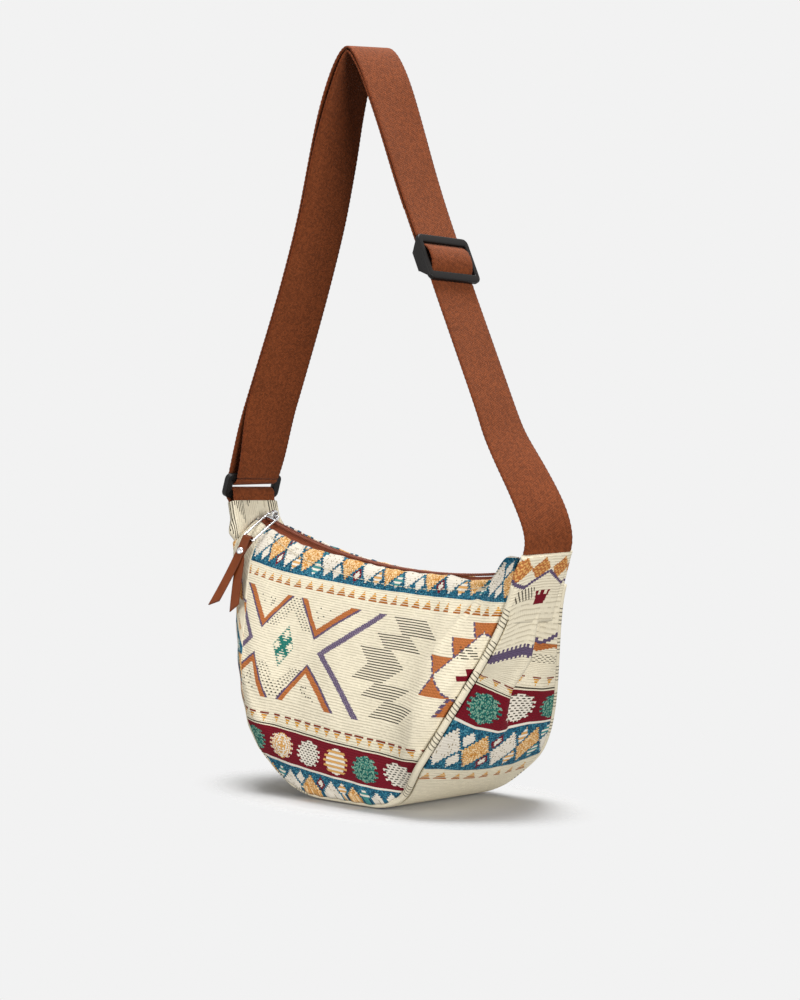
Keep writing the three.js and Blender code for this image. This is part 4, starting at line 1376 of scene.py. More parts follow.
    def panel_grid(self, back: bool = False) -> tuple[Points, Points]:
        """A panel, as if at the front, with its hem and soft folds.

        Args:
            back: Whether it is the back one, whose hem stands higher.

        Returns:
            Points and cloth coordinates.
        """
        rows = np.linspace(0, 1, self.rows) ** self.row_ease
        along, down = np.meshgrid(np.linspace(0, 1, self.columns), rows, indexing="ij")
        grid = self.form.panel(along, down)
        self._hang_over_seam(grid, along, down)
        self._stand_hem(grid, down, back)
        uv = self.front_cloth(grid)
        inside = smooth((0, 0.1), down) * smooth((0, 0.12), 1 - down)
        inside = inside * smooth((0, 0.05), along) * smooth((0, 0.05), 1 - along)
        folds = self.fold * soft_noise(grid * np.array([1.0, 1.0, 0.7]), 34.0, 3.1) * inside
        folds += self.crinkle * soft_noise(grid, 13.0, 7.7) * inside
        folds -= self.hem_seam * hump(down, 0.075, 0.022) * smooth((0.02, 0.1), along)
        folds += self.pucker * np.sin(along * 150) * hump(down, 1.0, 0.07)
        ridge = hump(along + 0.35 * down, 0.955, 0.02) * plateau((0.02, 0.1, 0.3, 0.6), down)
        grid = grid + grid_normals(grid) * (folds + self.ridge * ridge)[..., None]
        grid[..., 1] += self.hem_roll * (1.0 - smooth((0, 0.03), down)) ** 2
        return grid, uv

    def _hang_over_seam(self, grid: Points, along: Points, down: Points) -> None:
        """Lets a panel sag over its seam along the base and the left end.

        Args:
            grid: The panel's points, which are moved.
            along: Their shares along it.
            down: Their shares down it.
        """
        cover = 1 - smooth((0.66, 0.78), along)
        base = cover * smooth((0.34, 0.6), along)
        grid[..., 1] -= self.sag * cover * smooth((0.78, 0.96), down)
        grid[..., 2] -= self.sag * base * hump(down, 0.945, 0.05)
        seam = grid[:, -1:]
        toward = self.form.seam(self.form.seam_share(along[:, -1:])) - seam
        toward[..., 1] = 0
        grid += toward * (cover * smooth((0.86, 1.0), down))[..., None]

    def _stand_hem(self, grid: Points, down: Points, back: bool) -> None:
        """Lets a panel's hem stand up, uneven, beside the zip, and rise around its end.

        Args:
            grid: The panel's points, which are moved.
            down: Their shares down it.
            back: Whether it is the back one.
        """
        x = grid[..., 0]
        stand = self.hem_stand[back] * smooth((-119, -100) if back else (-85, -30), x)
        wave = 0.25 * np.sin(x * 0.45 + 1.5 * np.sin(x * 0.07))
        stand = (stand + wave) * (1 - smooth((62, 82), x))
        around = self.hem_around * (smooth((96, 113), x) - smooth((103, 121), x))
        grid[..., 2] += stand * (1 - smooth((0.0, 0.12), down))
        grid[..., 2] += around * (1 - smooth((0.0, 0.4), down))
        fade = (0.66, 0.88) if back else (0.2, 0.34)
        tucked = plateau((74, 92, 106, 122), x) * plateau((0.015, 0.06, *fade), down)
        grid[..., 1] += self.hem_tuck[back] * tucked

    def build(self) -> None:
        """Makes every piece."""
        self.build_panels()
        self.build_strip()
        self.build_piping()
        self.build_lap()
        self.build_cuffs()

    def build_panels(self) -> None:
        """Makes the front and back panels."""
        grid, uv = self.panel_grid()
        front = grid_object("front_panel_cloth", grid, uv)
        grid, uv = self.panel_grid(back=True)
        uv = uv * np.array([-1.0, 1.0]) + np.array([42.0, 0.0])
        back = grid_object("back_panel_cloth", (grid * MIRROR)[::-1], uv[::-1])
        for obj, node in ((front, "front_panel"), (back, "back_panel")):
            finish_piece(thickened(obj, self.ply), self.front, BAG, "jacquard", node)

    def side_cloth(self, reach: Points, across: Points, y: Points) -> Points:
        """Cloth coordinates of the strip, which is one length from tab to tab.

        Args:
            reach: Distance along it from the right tab.
            across: From -1 at the front to 1 at the back.
            y: Depth.

        Returns:
            Millimetres along and up the cloth.
        """
        edges = [np.interp(across, self.side_across, row) for row in self.side_reach]
        level = np.full(np.shape(reach), self.side_levels[0])
        for k, rise in enumerate(np.diff(self.side_levels)):
            level += rise * np.clip((reach - edges[k]) / (edges[k + 1] - edges[k]), 0, 1)
        level -= self.side_slope * np.clip(reach - edges[-1], 0, None)
        return np.stack([np.interp(y, self.side_depths, self.side_lengths), level], -1)

    def build_strip(self) -> None:
        """Makes the strip that forms the base and both ends."""
        share, across = np.meshgrid(
            np.linspace(0.008, 0.992, self.strip_steps),
            np.linspace(-1, 1, self.strip_across),
            indexing="ij",
        )
        grid = self.form.gusset(share, across)
        uv = self.side_cloth((1 - share) * self.form.length, across, grid[..., 1])
        ripple = self.ripple * soft_noise(grid * np.array([1.0, 1.3, 0.6]), 26.0, 5.5)
        ripple *= smooth((4, 30), grid[..., 2]) * (1 - np.abs(across) ** 4)
        ripple *= 1 - smooth((0.86, 0.95), np.maximum(share, 1 - share))
        grid = grid + grid_normals(grid) * ripple[..., None]
        strip = grid_object("gusset_cloth", grid, uv)
        finish_piece(thickened(strip, self.ply), self.side, BAG, "jacquard", "gusset")

    def on_panel(self, values: Points, place: Points) -> Points:
        """Values of the panel's grid at other places on it.

        Args:
            values: One for each point of the grid.
            place: Shares along and down the panel.

        Returns:
            The values there.
        """
        column = place[..., 0] * (self.columns - 1)
        row = place[..., 1] ** (1 / self.row_ease) * (self.rows - 1)
        i = np.clip(column.astype(int), 0, self.columns - 2)
        j = np.clip(row.astype(int), 0, self.rows - 2)
        right, low = (column - i)[..., None], (row - j)[..., None]
        upper = values[i, j] * (1 - right) + values[i + 1, j] * right
        lower = values[i, j + 1] * (1 - right) + values[i + 1, j + 1] * right
        return upper * (1 - low) + lower * low

    def build_lap(self) -> None:
        """Makes the strip's cloth where it laps over the front panel at the left end."""
        grid, _ = self.panel_grid()
        knots = np.linspace(0, 1, len(self.lap_inner))
        steps = np.linspace(0, 1, 90)
        inner, outer = (
            np.stack([np.interp(steps, knots, part) for part in zip(*edge)], -1)
            for edge in (self.lap_inner, self.lap_outer)
        )
        share = np.linspace(0, 1, 12)
        place = outer[:, None] + (inner - outer)[:, None] * share[None, :, None]
        points = self.on_panel(grid, place)
        points += self.on_panel(grid_normals(grid), place) * (0.55 - 0.35 * share[None, :, None] ** 3)
        away = np.linalg.norm(points - points[:, :1], axis=-1)
        start = self.form.seam_share(outer[:, 0]) * outer[:, 1] * self.form.length
        reach = np.broadcast_to(self.form.length - start[:, None], away.shape)
        uv = self.side_cloth(reach, np.full(away.shape, -1.0), -30.0 - away)
        lap = grid_object("gusset_lap", points[:, ::-1], uv[:, ::-1])
        finish_piece(thickened(lap, self.ply / 2), self.side, BAG, "jacquard")

    def build_piping(self) -> None:
        """Makes the piping of both seams, slimmer where the front panel hangs over it."""
        start = self.form.seam_start
        line = resampled(self.form.seam(np.linspace(start, 1 - start, 400)), 2.0)
        slim = 0.5 + 0.5 * smooth((0.26, 0.34), np.linspace(start, 1 - start, len(line)))
        for node, mirror, size in (("front_piping", np.ones(3), slim), ("back_piping", MIRROR, 1.0)):
            obj = tube_object(f"{node}_cord", line * mirror, self.piping_radius * size, 12)
            finish_piece(obj, self.piping, BAG, "piping", node)

    def cuff_grid(self, right: bool) -> tuple[Points, Points]:
        """A flat sleeve around the webbing at one tab.

        Args:
            right: Which tab.

        Returns:
            Points, as closed rows, and cloth coordinates.
        """
        reach, top, slant, depth = (46.0, 2.4, 1.7, 5.2) if right else (22.0, -6.0, 0.0, 7.0)
        turn = np.linspace(0, 2 * math.pi, 64, endpoint=False)
        turn = turn + (-math.pi / 2 if right else math.pi / 2)
        flat_y = np.sign(np.cos(turn)) * np.abs(np.cos(turn)) ** 0.35
        flat_in = np.sign(np.sin(turn)) * np.abs(np.sin(turn)) ** 0.55
        start = top - slant * flat_y[None, :]
        share = np.linspace(0, 1, 34)[:, None]
        away = start + (reach - start) * share
        on = np.clip(away, 0, None) / self.form.length
        x, z, inx, inz, height, _ = self.form.edge(1 - on if right else on)
        lift = np.minimum(away, 0) * (1 if right else -1)
        x, z = x - lift * inz, z + lift * inx
        wide = self.form.half_depth(x, height) - self.form.seam_room
        if right:
            front = 3.6 * smooth((2, 20), away) - 5.0 * smooth((36, reach), away)
            flare = np.where(flat_y < 0, front, -0.12 * away)
        else:
            flare = 4.0 * smooth((4, 16), away) - 3.0 * smooth((16, reach), away)
        across = (wide + 0.9 + flare) * flat_y[None, :]
        deep = 0.5 * depth + 1.1 - 1.1 * smooth((0.4, 1), share)
        inward = 0.5 * depth - 0.2 - deep * flat_in[None, :]
        points = np.stack([x + inx * inward, across, z + inz * inward], -1)
        points = points + 0.35 * soft_noise(points, 9.0, 2.2)[..., None] * np.array([1.0, 0.3, 0.6])
        ring = np.concatenate([points, points[:, :1]], 1)
        arc = np.linalg.norm(np.diff(ring, axis=1), axis=-1)
        arc = np.pad(np.cumsum(arc, axis=1), ((0, 0), (1, 0)))
        flat = arc[:, -1:] / 2 - arc
        away, wide = (np.concatenate([part, part[:, :1]], 1) for part in (away, wide))
        if right:
            return points, self.side_cloth(away, flat / wide, flat)
        uv = np.stack([50.0 + away, -9.0 + flat], -1)
        return points[:, ::-1], uv[:, ::-1]

    def build_cuffs(self) -> None:
        """Makes the cuffs on both tabs."""
        cuffs = (("tab_cuff_right", True, self.side), ("tab_cuff_left", False, self.front))
        for name, right, cloth in cuffs:
            points, uv = self.cuff_grid(right)
            obj = face_out(grid_object(name, points, uv, around=True))
            finish_piece(obj, cloth, BAG, "jacquard")


# Tubes, bands and hard pieces.


def tube_object(name: str, line: Points, radius: Union[float, Points], sides: int) -> Piece:
    """Makes a tube along a line.

    Args:
        name: Name of the piece.
        line: Points of its middle.
        radius: Its radius, or one for each point.
        sides: Faces around it.

    Returns:
        The piece.
    """
    way = unit(np.gradient(line, axis=0))
    first = unit(Y_AXIS - way * (way @ Y_AXIS)[:, None])
    second = np.cross(way, first)
    turn = np.linspace(0, 2 * math.pi, sides, endpoint=False)
    cosine, sine = np.cos(turn)[None, :, None], np.sin(turn)[None, :, None]
    ring = cosine * first[:, None] + sine * second[:, None]
    grid = line[:, None] + np.broadcast_to(radius, len(line))[:, None, None] * ring
    around = np.r_[turn, 2 * math.pi] * np.max(radius)
    uv = np.stack(np.broadcast_arrays(around[None, :], lengths(line)[:, None]), -1)
    return face_out(grid_object(name, grid, uv, around=True))


def finish_piece(obj: Piece, material: Paint, body: str, slot: str, *nodes: str) -> None:
    """Dresses a piece, hangs it on the body that it rides on, and hides the CAD nodes that it stands for.

    Args:
        obj: The piece.
        material: Its finish.
        body: The body that it moves with; empty for a piece that is hung on none.
        slot: The record's material slot; not used.
        nodes: The CAD nodes that it replaces.
    """
    obj.data.materials.clear()
    obj.data.materials.append(material)
    if body:
        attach(obj, body)
    if nodes:
        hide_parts(*nodes)
    LOG.info("%s: %d faces", obj.name, len(obj.data.polygons))


def ribbon_object(
    name: str,
    line: Points,
    across: Points,
    half_width: float,
    thickness: float,
    jagged: float = 0.0,
    slants: Pair = (0.0, 0.0),
) -> Piece:
    """Makes a flat band with rounded edges.

    Args:
        name: Name of the piece.
        line: Points of its middle.
        across: Unit directions across it, one for each point.
        half_width: Half its width.
        thickness: Its thickness.
        jagged: How far the edge threads stand out at every second point.
        slants: How far each end is cut on a slant, as a share of its width.

    Returns:
        The piece.
    """
    way = unit(np.gradient(line, axis=0))
    out = unit(np.cross(across, way))
    half = thickness / 2
    flat = np.linspace(-half_width + half, half_width - half, 15)
    bend = np.linspace(-math.pi / 2, math.pi / 2, 5)[1:-1]
    tips = half_width - half + half * np.cos(bend)
    side = np.concatenate([flat, tips, flat[::-1], -tips])
    bow = half * np.sin(bend)
    lift = np.concatenate([np.full(15, -half), bow, np.full(15, half), -bow])
    step = np.arange(len(line)) % 2 - 0.5
    stand = 1 + (jagged / half_width) * 2 * step
    outer = np.abs(side) > half_width - half - 0.01
    widths = side[None, :] * np.where(outer[None, :], stand[:, None], 1.0)
    grid = line[:, None] + widths[..., None] * across[:, None] + lift[None, :, None] * out[:, None]
    for end, slant in ((0, slants[0]), (-1, slants[1])):
        for row, weight in enumerate((1.0, 0.66, 0.33)):
            at = row if end == 0 else -1 - row
            grid[at] += way[at] * (side * slant * weight)[:, None]
    closed = np.r_[side, side[0]]
    uv = np.stack(np.broadcast_arrays(closed[None, :], lengths(line)[:, None]), -1)
    return face_out(grid_object(name, grid, uv, around=True))


def soften(obj: Piece, edge: float, segments: int = 3) -> Piece:
    """Rounds a hard piece's edges.

    Args:
        obj: The piece.
        edge: How far.
        segments: Faces across each edge.

    Returns:
        The piece.
    """
    rounding = {"limit_method": "ANGLE", "angle_limit": HARD_ANGLE}
    apply_modifier(obj, "BEVEL", width=edge * MM, segments=segments, **rounding)
    with editing(obj):
        bpy.ops.mesh.remove_doubles(threshold=WELD * MM)
        bpy.ops.mesh.dissolve_degenerate(threshold=WELD * MM)
    bpy.ops.object.shade_smooth_by_angle(angle=HARD_ANGLE)
    return obj


def primitive(name: str, add: Callable[..., object], **settings: object) -> Piece:
    """Adds one of Blender's own shapes.

    Args:
        name: Name of the piece.
        add: Blender's tool for the shape.
        settings: The tool's values.

    Returns:
        The piece.
    """
    bpy.ops.object.select_all(action="DESELECT")
    add(**settings)
    obj = bpy.context.active_object
    obj.name = name
    return obj


def rounded_frame(
    name: str,
    size: Pair,
    rail: float,
    bar: float,
    thickness: float,
    radius: float,
    edge: float,
) -> Piece:
    """Models a flat frame with rounded corners, about its own middle.

    Args:
        name: Name of the piece.
        size: Outer width and length.
        rail: Width of its sides.
        bar: Width of its ends.
        thickness: Its thickness.
        radius: Radius of its corners.
        edge: How far its edges are rounded.

    Returns:
        The piece.
    """
    obj = primitive(name, bpy.ops.mesh.primitive_plane_add, size=1.0)
    obj.scale = (size[0] * MM, size[1] * MM, 1.0)
    bpy.ops.object.transform_apply(scale=True)
    with editing(obj):
        bpy.ops.mesh.bevel(offset=radius * MM, segments=6, affect="VERTICES")
        bpy.ops.mesh.select_all(action="SELECT")
        bpy.ops.mesh.inset(thickness=rail * MM)
        bpy.ops.mesh.delete(type="FACE")
    inner = (size[0] / 2 - rail + 0.01, size[1] / 2 - rail + 0.01)
    for sign in (1.0, -1.0):
        with editing(obj, lambda p: abs(p.x) < inner[0] and 0 < sign * p.y < inner[1]):
            bpy.ops.transform.translate(value=(0.0, sign * (rail - bar) * MM, 0.0))
    apply_modifier(obj, "SOLIDIFY", thickness=thickness * MM, offset=0.0)
    return soften(face_out(obj), edge, 4)


def rounded_block(name: str, size: Triple, place: Triple, edge: float) -> Piece:
    """Models a block with rounded edges.

    Args:
        name: Name of the piece.
        size: Its three sizes.
        place: Its middle.
        edge: How far its edges are rounded.

    Returns:
        The piece.
    """
    obj = primitive(name, bpy.ops.mesh.primitive_cube_add, size=1.0)
    obj.scale = tuple(s * MM for s in size)
    obj.location = tuple(p * MM for p in place)
    bpy.ops.object.transform_apply(location=True, scale=True)
    return soften(obj, edge)


def joined(pieces: list[Piece]) -> Piece:
    """Makes several pieces one.

    Args:
        pieces: The pieces.

    Returns:
        The first, which now has the others in it.
    """
    bpy.ops.object.select_all(action="DESELECT")
    for piece in pieces:
        piece.select_set(True)
    bpy.context.view_layer.objects.active = pieces[0]
    bpy.ops.object.join()
    return pieces[0]


@dataclass
class Zip:
    """Curved zip: two tapes, two rows of spiral teeth, end stops, cloth ends and the lining below."""

    form: BagForm
    cloth: Paint
    plastic: Paint
    metal: Paint
    end_cloth: Paint
    lining: Paint
    slit: float = 0.5
    coil_width: float = 2.4
    coil_height: float = 2.0
    coil_pitch: float = 1.5
    coil_wire: float = 0.4
    tape_drop: float = 2.5
    tape_half: float = 5.5
    tape: float = 0.7
    hidden: float = 2.4
    stop: float = 3.0
    gap: float = 0.3
    end_half: float = 6.4
    end_inset: float = 6.6
    end_sag: float = 1.6
    end_ply: float = 1.2
    pouch_inset: float = 4.0
    pouch_ply: float = 0.8

    def build(self) -> None:
        """Makes every piece."""
        self.build_tapes()
        self.build_coils()
        self.build_stops()
        self.build_ends()
        self.build_lining()

    def build_tapes(self) -> None:
        """Makes both tapes, their outer edges under the panels' hems."""
        x = np.linspace(self.form.zip_left, self.form.zip_right, 120)
        y = np.linspace(self.slit, self.tape_half + self.hidden, 12)
        drop = self.tape_drop * (y - self.slit) / (self.tape_half - self.slit)
        drop = drop + 0.9 * np.clip(y - self.tape_half, 0, None)
        grid = self.form.zip_point(x[:, None], y[None, :], -drop[None, :])
        uv = np.stack(np.broadcast_arrays(y[None, :], x[:, None]), -1)
        back = grid_object("zip_tape_back_cloth", grid[::-1], uv[::-1])
        front = grid_object("zip_tape_front_cloth", grid * MIRROR, uv)
        for obj, node in ((front, "zip_tape_front"), (back, "zip_tape_back")):
            finish_piece(thickened(obj, self.tape), self.cloth, BAG, "zip_tape", node)

    def build_coils(self) -> None:
        """Winds both rows of teeth."""
        left = self.form.zip_left + self.stop + self.gap
        right = self.form.zip_right - self.stop - self.gap
        turns = (right - left) / self.coil_pitch
        turn = np.linspace(0, 2 * math.pi * turns, int(turns * 10))
        x = left + turn / (2 * math.pi) * self.coil_pitch
        reach_y = self.coil_width / 2 - self.coil_wire
        reach_z = self.coil_height / 2 - self.coil_wire
        for side, sign in (("front", -1.0), ("back", 1.0)):
            y = sign * (self.slit + self.coil_width / 2 + reach_y * np.cos(turn))
            rise = self.gap + self.coil_height / 2 + reach_z * np.sin(turn)
            line = self.form.zip_point(x, y, rise)
            obj = tube_object(f"zip_coil_{side}_teeth", line, self.coil_wire, 5)
            finish_piece(obj, self.plastic, BAG, "zip_coil", f"zip_coil_{side}")

    def build_stops(self) -> None:
        """Models the metal stop at each end."""
        half = self.slit + self.coil_width
        left, right = self.form.zip_left + self.stop / 2, self.form.zip_right - self.stop / 2
        for node, middle in (("zip_stop_left", left), ("zip_stop_right", right)):
            angle = float(self.form.zip_angle(middle))
            size = (self.stop, 2 * half, self.coil_height)
            obj = rounded_block(f"{node}_bar", size, (0.0, 0.0, 0.0), 0.5)
            origin = self.form.zip_point(middle, 0.0, self.gap + self.coil_height / 2)
            placed(obj, frame_matrix((math.cos(angle), 0, math.sin(angle)), (0, 1, 0), origin))
            finish_piece(obj, self.metal, BAG, "zip_metal", node)

    def build_ends(self) -> None:
        """Makes the cloth that closes the mouth between the zip and each tab."""
        room = 3 * self.gap
        ends = (
            ("zip_end_left", self.form.zip_left - room, 0.02, self.end_cloth, "jacquard", 1),
            ("zip_end_right", self.form.zip_right + room, 0.98, self.cloth, "zip_tape", -1),
        )
        along = np.linspace(0, 1, 18)[:, None]
        y = np.linspace(-self.end_half, self.end_half, 17)
        sag = self.end_sag * np.sin(math.pi * along) * np.cos(y / self.end_half * math.pi / 2)
        for node, x, share, finish, slot, order in ends:
            start = self.form.zip_point(x, 0.0, 0.0)
            ex, ez, inx, inz, _, _ = self.form.edge(share)
            end = np.array([ex + inx * self.end_inset, 0.0, ez + inz * self.end_inset])
            grid = np.repeat((start + (end - start) * along)[:, None], len(y), 1)
            grid[..., 1] = y
            grid[..., 2] += sag - 0.35 * (np.abs(y) - 5.0).clip(0)
            uv = np.stack(np.broadcast_arrays(y, 60.0 + 30.0 * along), -1)
            obj = grid_object(f"{node}_cloth", grid[::order], uv[::order])
            finish_piece(thickened(obj, self.end_ply), finish, BAG, slot, node)

    def build_lining(self) -> None:
        """Makes the pouch inside, open along the zip."""
        shares = np.linspace(0.1, 0.9, 60), np.linspace(0.06, 0.96, 40)
        along, down = np.meshgrid(*shares, indexing="ij")
        front = self.form.panel(along, down)
        front[..., 1] += self.pouch_inset
        front = front + 0.5 * soft_noise(front, 17.0, 4.4)[..., None] * Y_AXIS
        grid = np.concatenate([front, (front * MIRROR)[:, ::-1]], 1)
        uv = np.stack(np.broadcast_arrays(grid[..., 0], grid[..., 2]), -1)
        obj = grid_object("lining_cloth", grid, uv)
        finish_piece(thickened(obj, self.pouch_ply), self.lining, BAG, "lining", "lining")


@dataclass
class ZipPull:
    """Zip slider, wire frame and riveted leather pull, each on its own body."""

    form: BagForm
    metal: Paint
    hide: Paint
    slider_inset: float = 7.4
    slider_length: float = 7.6
    slider_width: float = 7.0
    plate: float = 1.0
    plate_low: float = 2.6
    shoe_half: float = 2.9
    shoe_top: float = -2.2
    blade: float = 0.5
    bridge: Triple = (3.0, 4.6, 5.0)
    bridge_wall: float = 0.8
    nose: float = 0.45
    pivot_rise: float = 5.5
    wire: float = 1.6
    frame_width: float = 11.6
    frame_length: float = 30.0
    frame_angle: float = 54.0
    frame_swing: float = 10.0
    pull_angle: float = 27.0
    pull_half: float = 3.5
    leather: float = 1.2
    leather_room: float = 0.02
    fold_room: float = 0.6
    tail_slant: float = 0.75
    tail_curl: float = 0.0016
    tail: float = 41.0
    tail_angles: Pair = (5.0, 23.0)
    rivet_drop: float = 10.0
    rivet_radius: float = 2.6
    rivet_head: float = 1.1
    rivet_disc: float = 0.4
    rivet_dome: Pairs = ((0.5, 0.5), (0.7, 0.33), (0.8, 0.17))

    def __post_init__(self) -> None:
        """Finds where each part hangs."""
        at = self.form.zip_left + self.slider_inset
        angle = float(self.form.zip_angle(at))
        self.way = np.array([math.cos(angle), 0.0, math.sin(angle)])
        self.slider_frame = frame_matrix(self.way, (0, 1, 0), self.form.zip_point(at, 0.0, 0.0))
        pivot = self.form.zip_point(at, 0.0, self.pivot_rise)
        self.frame_hang = self._hanging(pivot, self.way, self.frame_angle, self.frame_swing)
        drop = self.frame_length - self.wire
        low = self.frame_hang @ Vector((0.0, -drop * MM, 0.0))
        bar = self.frame_hang.to_3x3() @ Vector((1.0, 0.0, 0.0))
        self.pull_hang = self._hanging(np.array(low) / MM, np.array(bar), self.pull_angle, 0.0)

    @staticmethod
    def _hanging(place: Points, bar: Points, angle: float, swing: float) -> Matrix:
        """Axes of a part that hangs on a bar: x along the bar, -y down it.

        Args:
            place: The bar's middle.
            bar: Its direction.
            angle: Degrees that the part stands out from straight down.
            swing: Degrees that it is turned in its own plane.

        Returns:
            Its matrix.
        """
        lean = math.radians(angle)
        up = np.array([0.0, math.sin(lean), math.cos(lean)])
        up = unit(up - bar * (up @ bar))
        return frame_matrix(bar, up, place) @ Matrix.Rotation(math.radians(swing), 4, "Z")

    def build(self) -> None:
        """Makes every piece."""
        self.build_slider()
        self.build_frame()
        self.build_leather()
        self.build_rivet()

    def build_slider(self) -> None:
        """Models the slider: two plates, the blade between them and the bridge for the frame."""
        long, wide, high = self.bridge
        length, plate, wall = self.slider_length, self.plate, self.bridge_wall
        bridge_low = self.plate_low + plate
        size, place = (length, self.slider_width, plate), (0, 0, self.plate_low + plate / 2)
        top = rounded_block("zip_slider_body", size, place, 0.3)
        with editing(top, lambda p: p.x > length / 2 - 0.5):
            bpy.ops.transform.resize(value=(1.0, self.nose, 1.0))
        shoe_z = self.shoe_top - plate / 2
        shoe = rounded_block("shoe", (length, 2 * self.shoe_half, plate), (0, 0, shoe_z), 0.3)
        blade_high = bridge_low - shoe_z
        size, place = (length / 2, self.blade, blade_high), (0, 0, shoe_z + blade_high / 2)
        blade = rounded_block("blade", size, place, 0.1)
        frame = rounded_frame("bridge", (wide, high + wall), wall, wall, long, 1.2, 0.25)
        turn = Matrix.Rotation(math.pi / 2, 4, "Z") @ Matrix.Rotation(math.pi / 2, 4, "X")
        lift = Matrix.Translation((0, 0, (bridge_low + (high - wall) / 2) * MM))
        placed(frame, lift @ turn)
        slider = placed(joined([top, shoe, blade, frame]), self.slider_frame)
        finish_piece(slider, self.metal, "zip_slider", "zip_metal", "zip_slider")

    def build_frame(self) -> None:
        """Models the wire frame that hangs in the slider's bridge."""
        size = (self.frame_width, self.frame_length)
        wire = self.wire
        obj = rounded_frame("pull_frame_wire", size, wire, wire, wire, wire * 1.5, wire * 0.46)
        lift = Matrix.Translation((0, -(self.frame_length - wire) / 2 * MM, 0))
        placed(obj, self.frame_hang @ lift)
        finish_piece(obj, self.metal, "pull_frame", "zip_metal", "pull_frame")

    def build_leather(self) -> None:
        """Makes the strip of leather, folded over the frame's bar, its two tails splayed at the rivet."""
        half = self.leather / 2 + self.leather_room
        outer = self.wire / 2 + self.fold_room + half
        rivet = np.array([0.0, -self.rivet_drop, 0.0])
        lines, acrosses = [], []
        for angle, side in zip(self.tail_angles, (1.0, -1.0)):
            splay = math.radians(angle)
            away = np.linspace(self.tail, 0, 24)
            bend = splay * smooth((0, 7), away)
            curl = side * (half + self.tail_curl * away**2)
            down = np.stack([np.sin(bend), -np.cos(bend), 0 * bend], -1)
            tail = rivet + down * away[:, None] + curl[:, None] * np.array([0, 0, 1.0])
            across = np.stack([np.cos(bend), np.sin(bend), 0 * bend], -1)
            rise = np.linspace(0, 1, 8)[1:]
            bow = half + (outer - half) * smooth((0.2, 1), rise)
            leg = np.stack([0 * rise, -self.rivet_drop * (1 - rise), side * bow], -1)
            lines.append(np.vstack([tail, leg]))
            acrosses.append(np.vstack([across, [(1.0, 0.0, 0.0)] * len(leg)]))
        turn = np.linspace(0, math.pi, 12)[1:-1]
        fold = np.stack([0 * turn, outer * np.sin(turn), outer * np.cos(turn)], -1)
        line = np.vstack([lines[0], fold, lines[1][::-1]])
        across = np.vstack([acrosses[0], [(1.0, 0.0, 0.0)] * len(fold), acrosses[1][::-1]])
        slants = (self.tail_slant, -self.tail_slant)
        size = (self.pull_half, self.leather)
        obj = ribbon_object("leather_pull_strip", line, across, *size, slants=slants)
        placed(obj, self.pull_hang)
        finish_piece(obj, self.hide, "leather_pull", "leather", "leather_pull")

    def build_rivet(self) -> None:
        """Models the domed rivet, with its flat back."""
        seat = self.leather + 0.05
        disc = self.rivet_disc
        sides = (("pull_rivet_head", 1.0, self.rivet_head), ("rivet_back", -1.0, self.rivet_head / 2))
        heads = []
        for name, side, high in sides:
            size = {"vertices": 32, "radius": self.rivet_radius * MM, "depth": disc * MM}
            obj = primitive(name, bpy.ops.mesh.primitive_cylinder_add, **size)
            top = disc / 2
            for reach, rise in self.rivet_dome:
                with editing(obj, lambda p: p.z > top - 0.01):
                    bpy.ops.mesh.inset(thickness=reach * MM)
                    bpy.ops.transform.translate(value=(0.0, 0.0, rise * high * MM))
                top += rise * high
            soften(obj, 0.15)
            turn = Matrix.Identity(4) if side > 0 else Matrix.Rotation(math.pi, 4, "X")
            out = side * (seat + disc / 2)
            place = Matrix.Translation((0.0, -self.rivet_drop * MM, out * MM))
            heads.append(placed(obj, place @ turn))
        rivet = placed(joined(heads), self.pull_hang)
        finish_piece(rivet, self.metal, "leather_pull", "zip_metal", "pull_rivet")


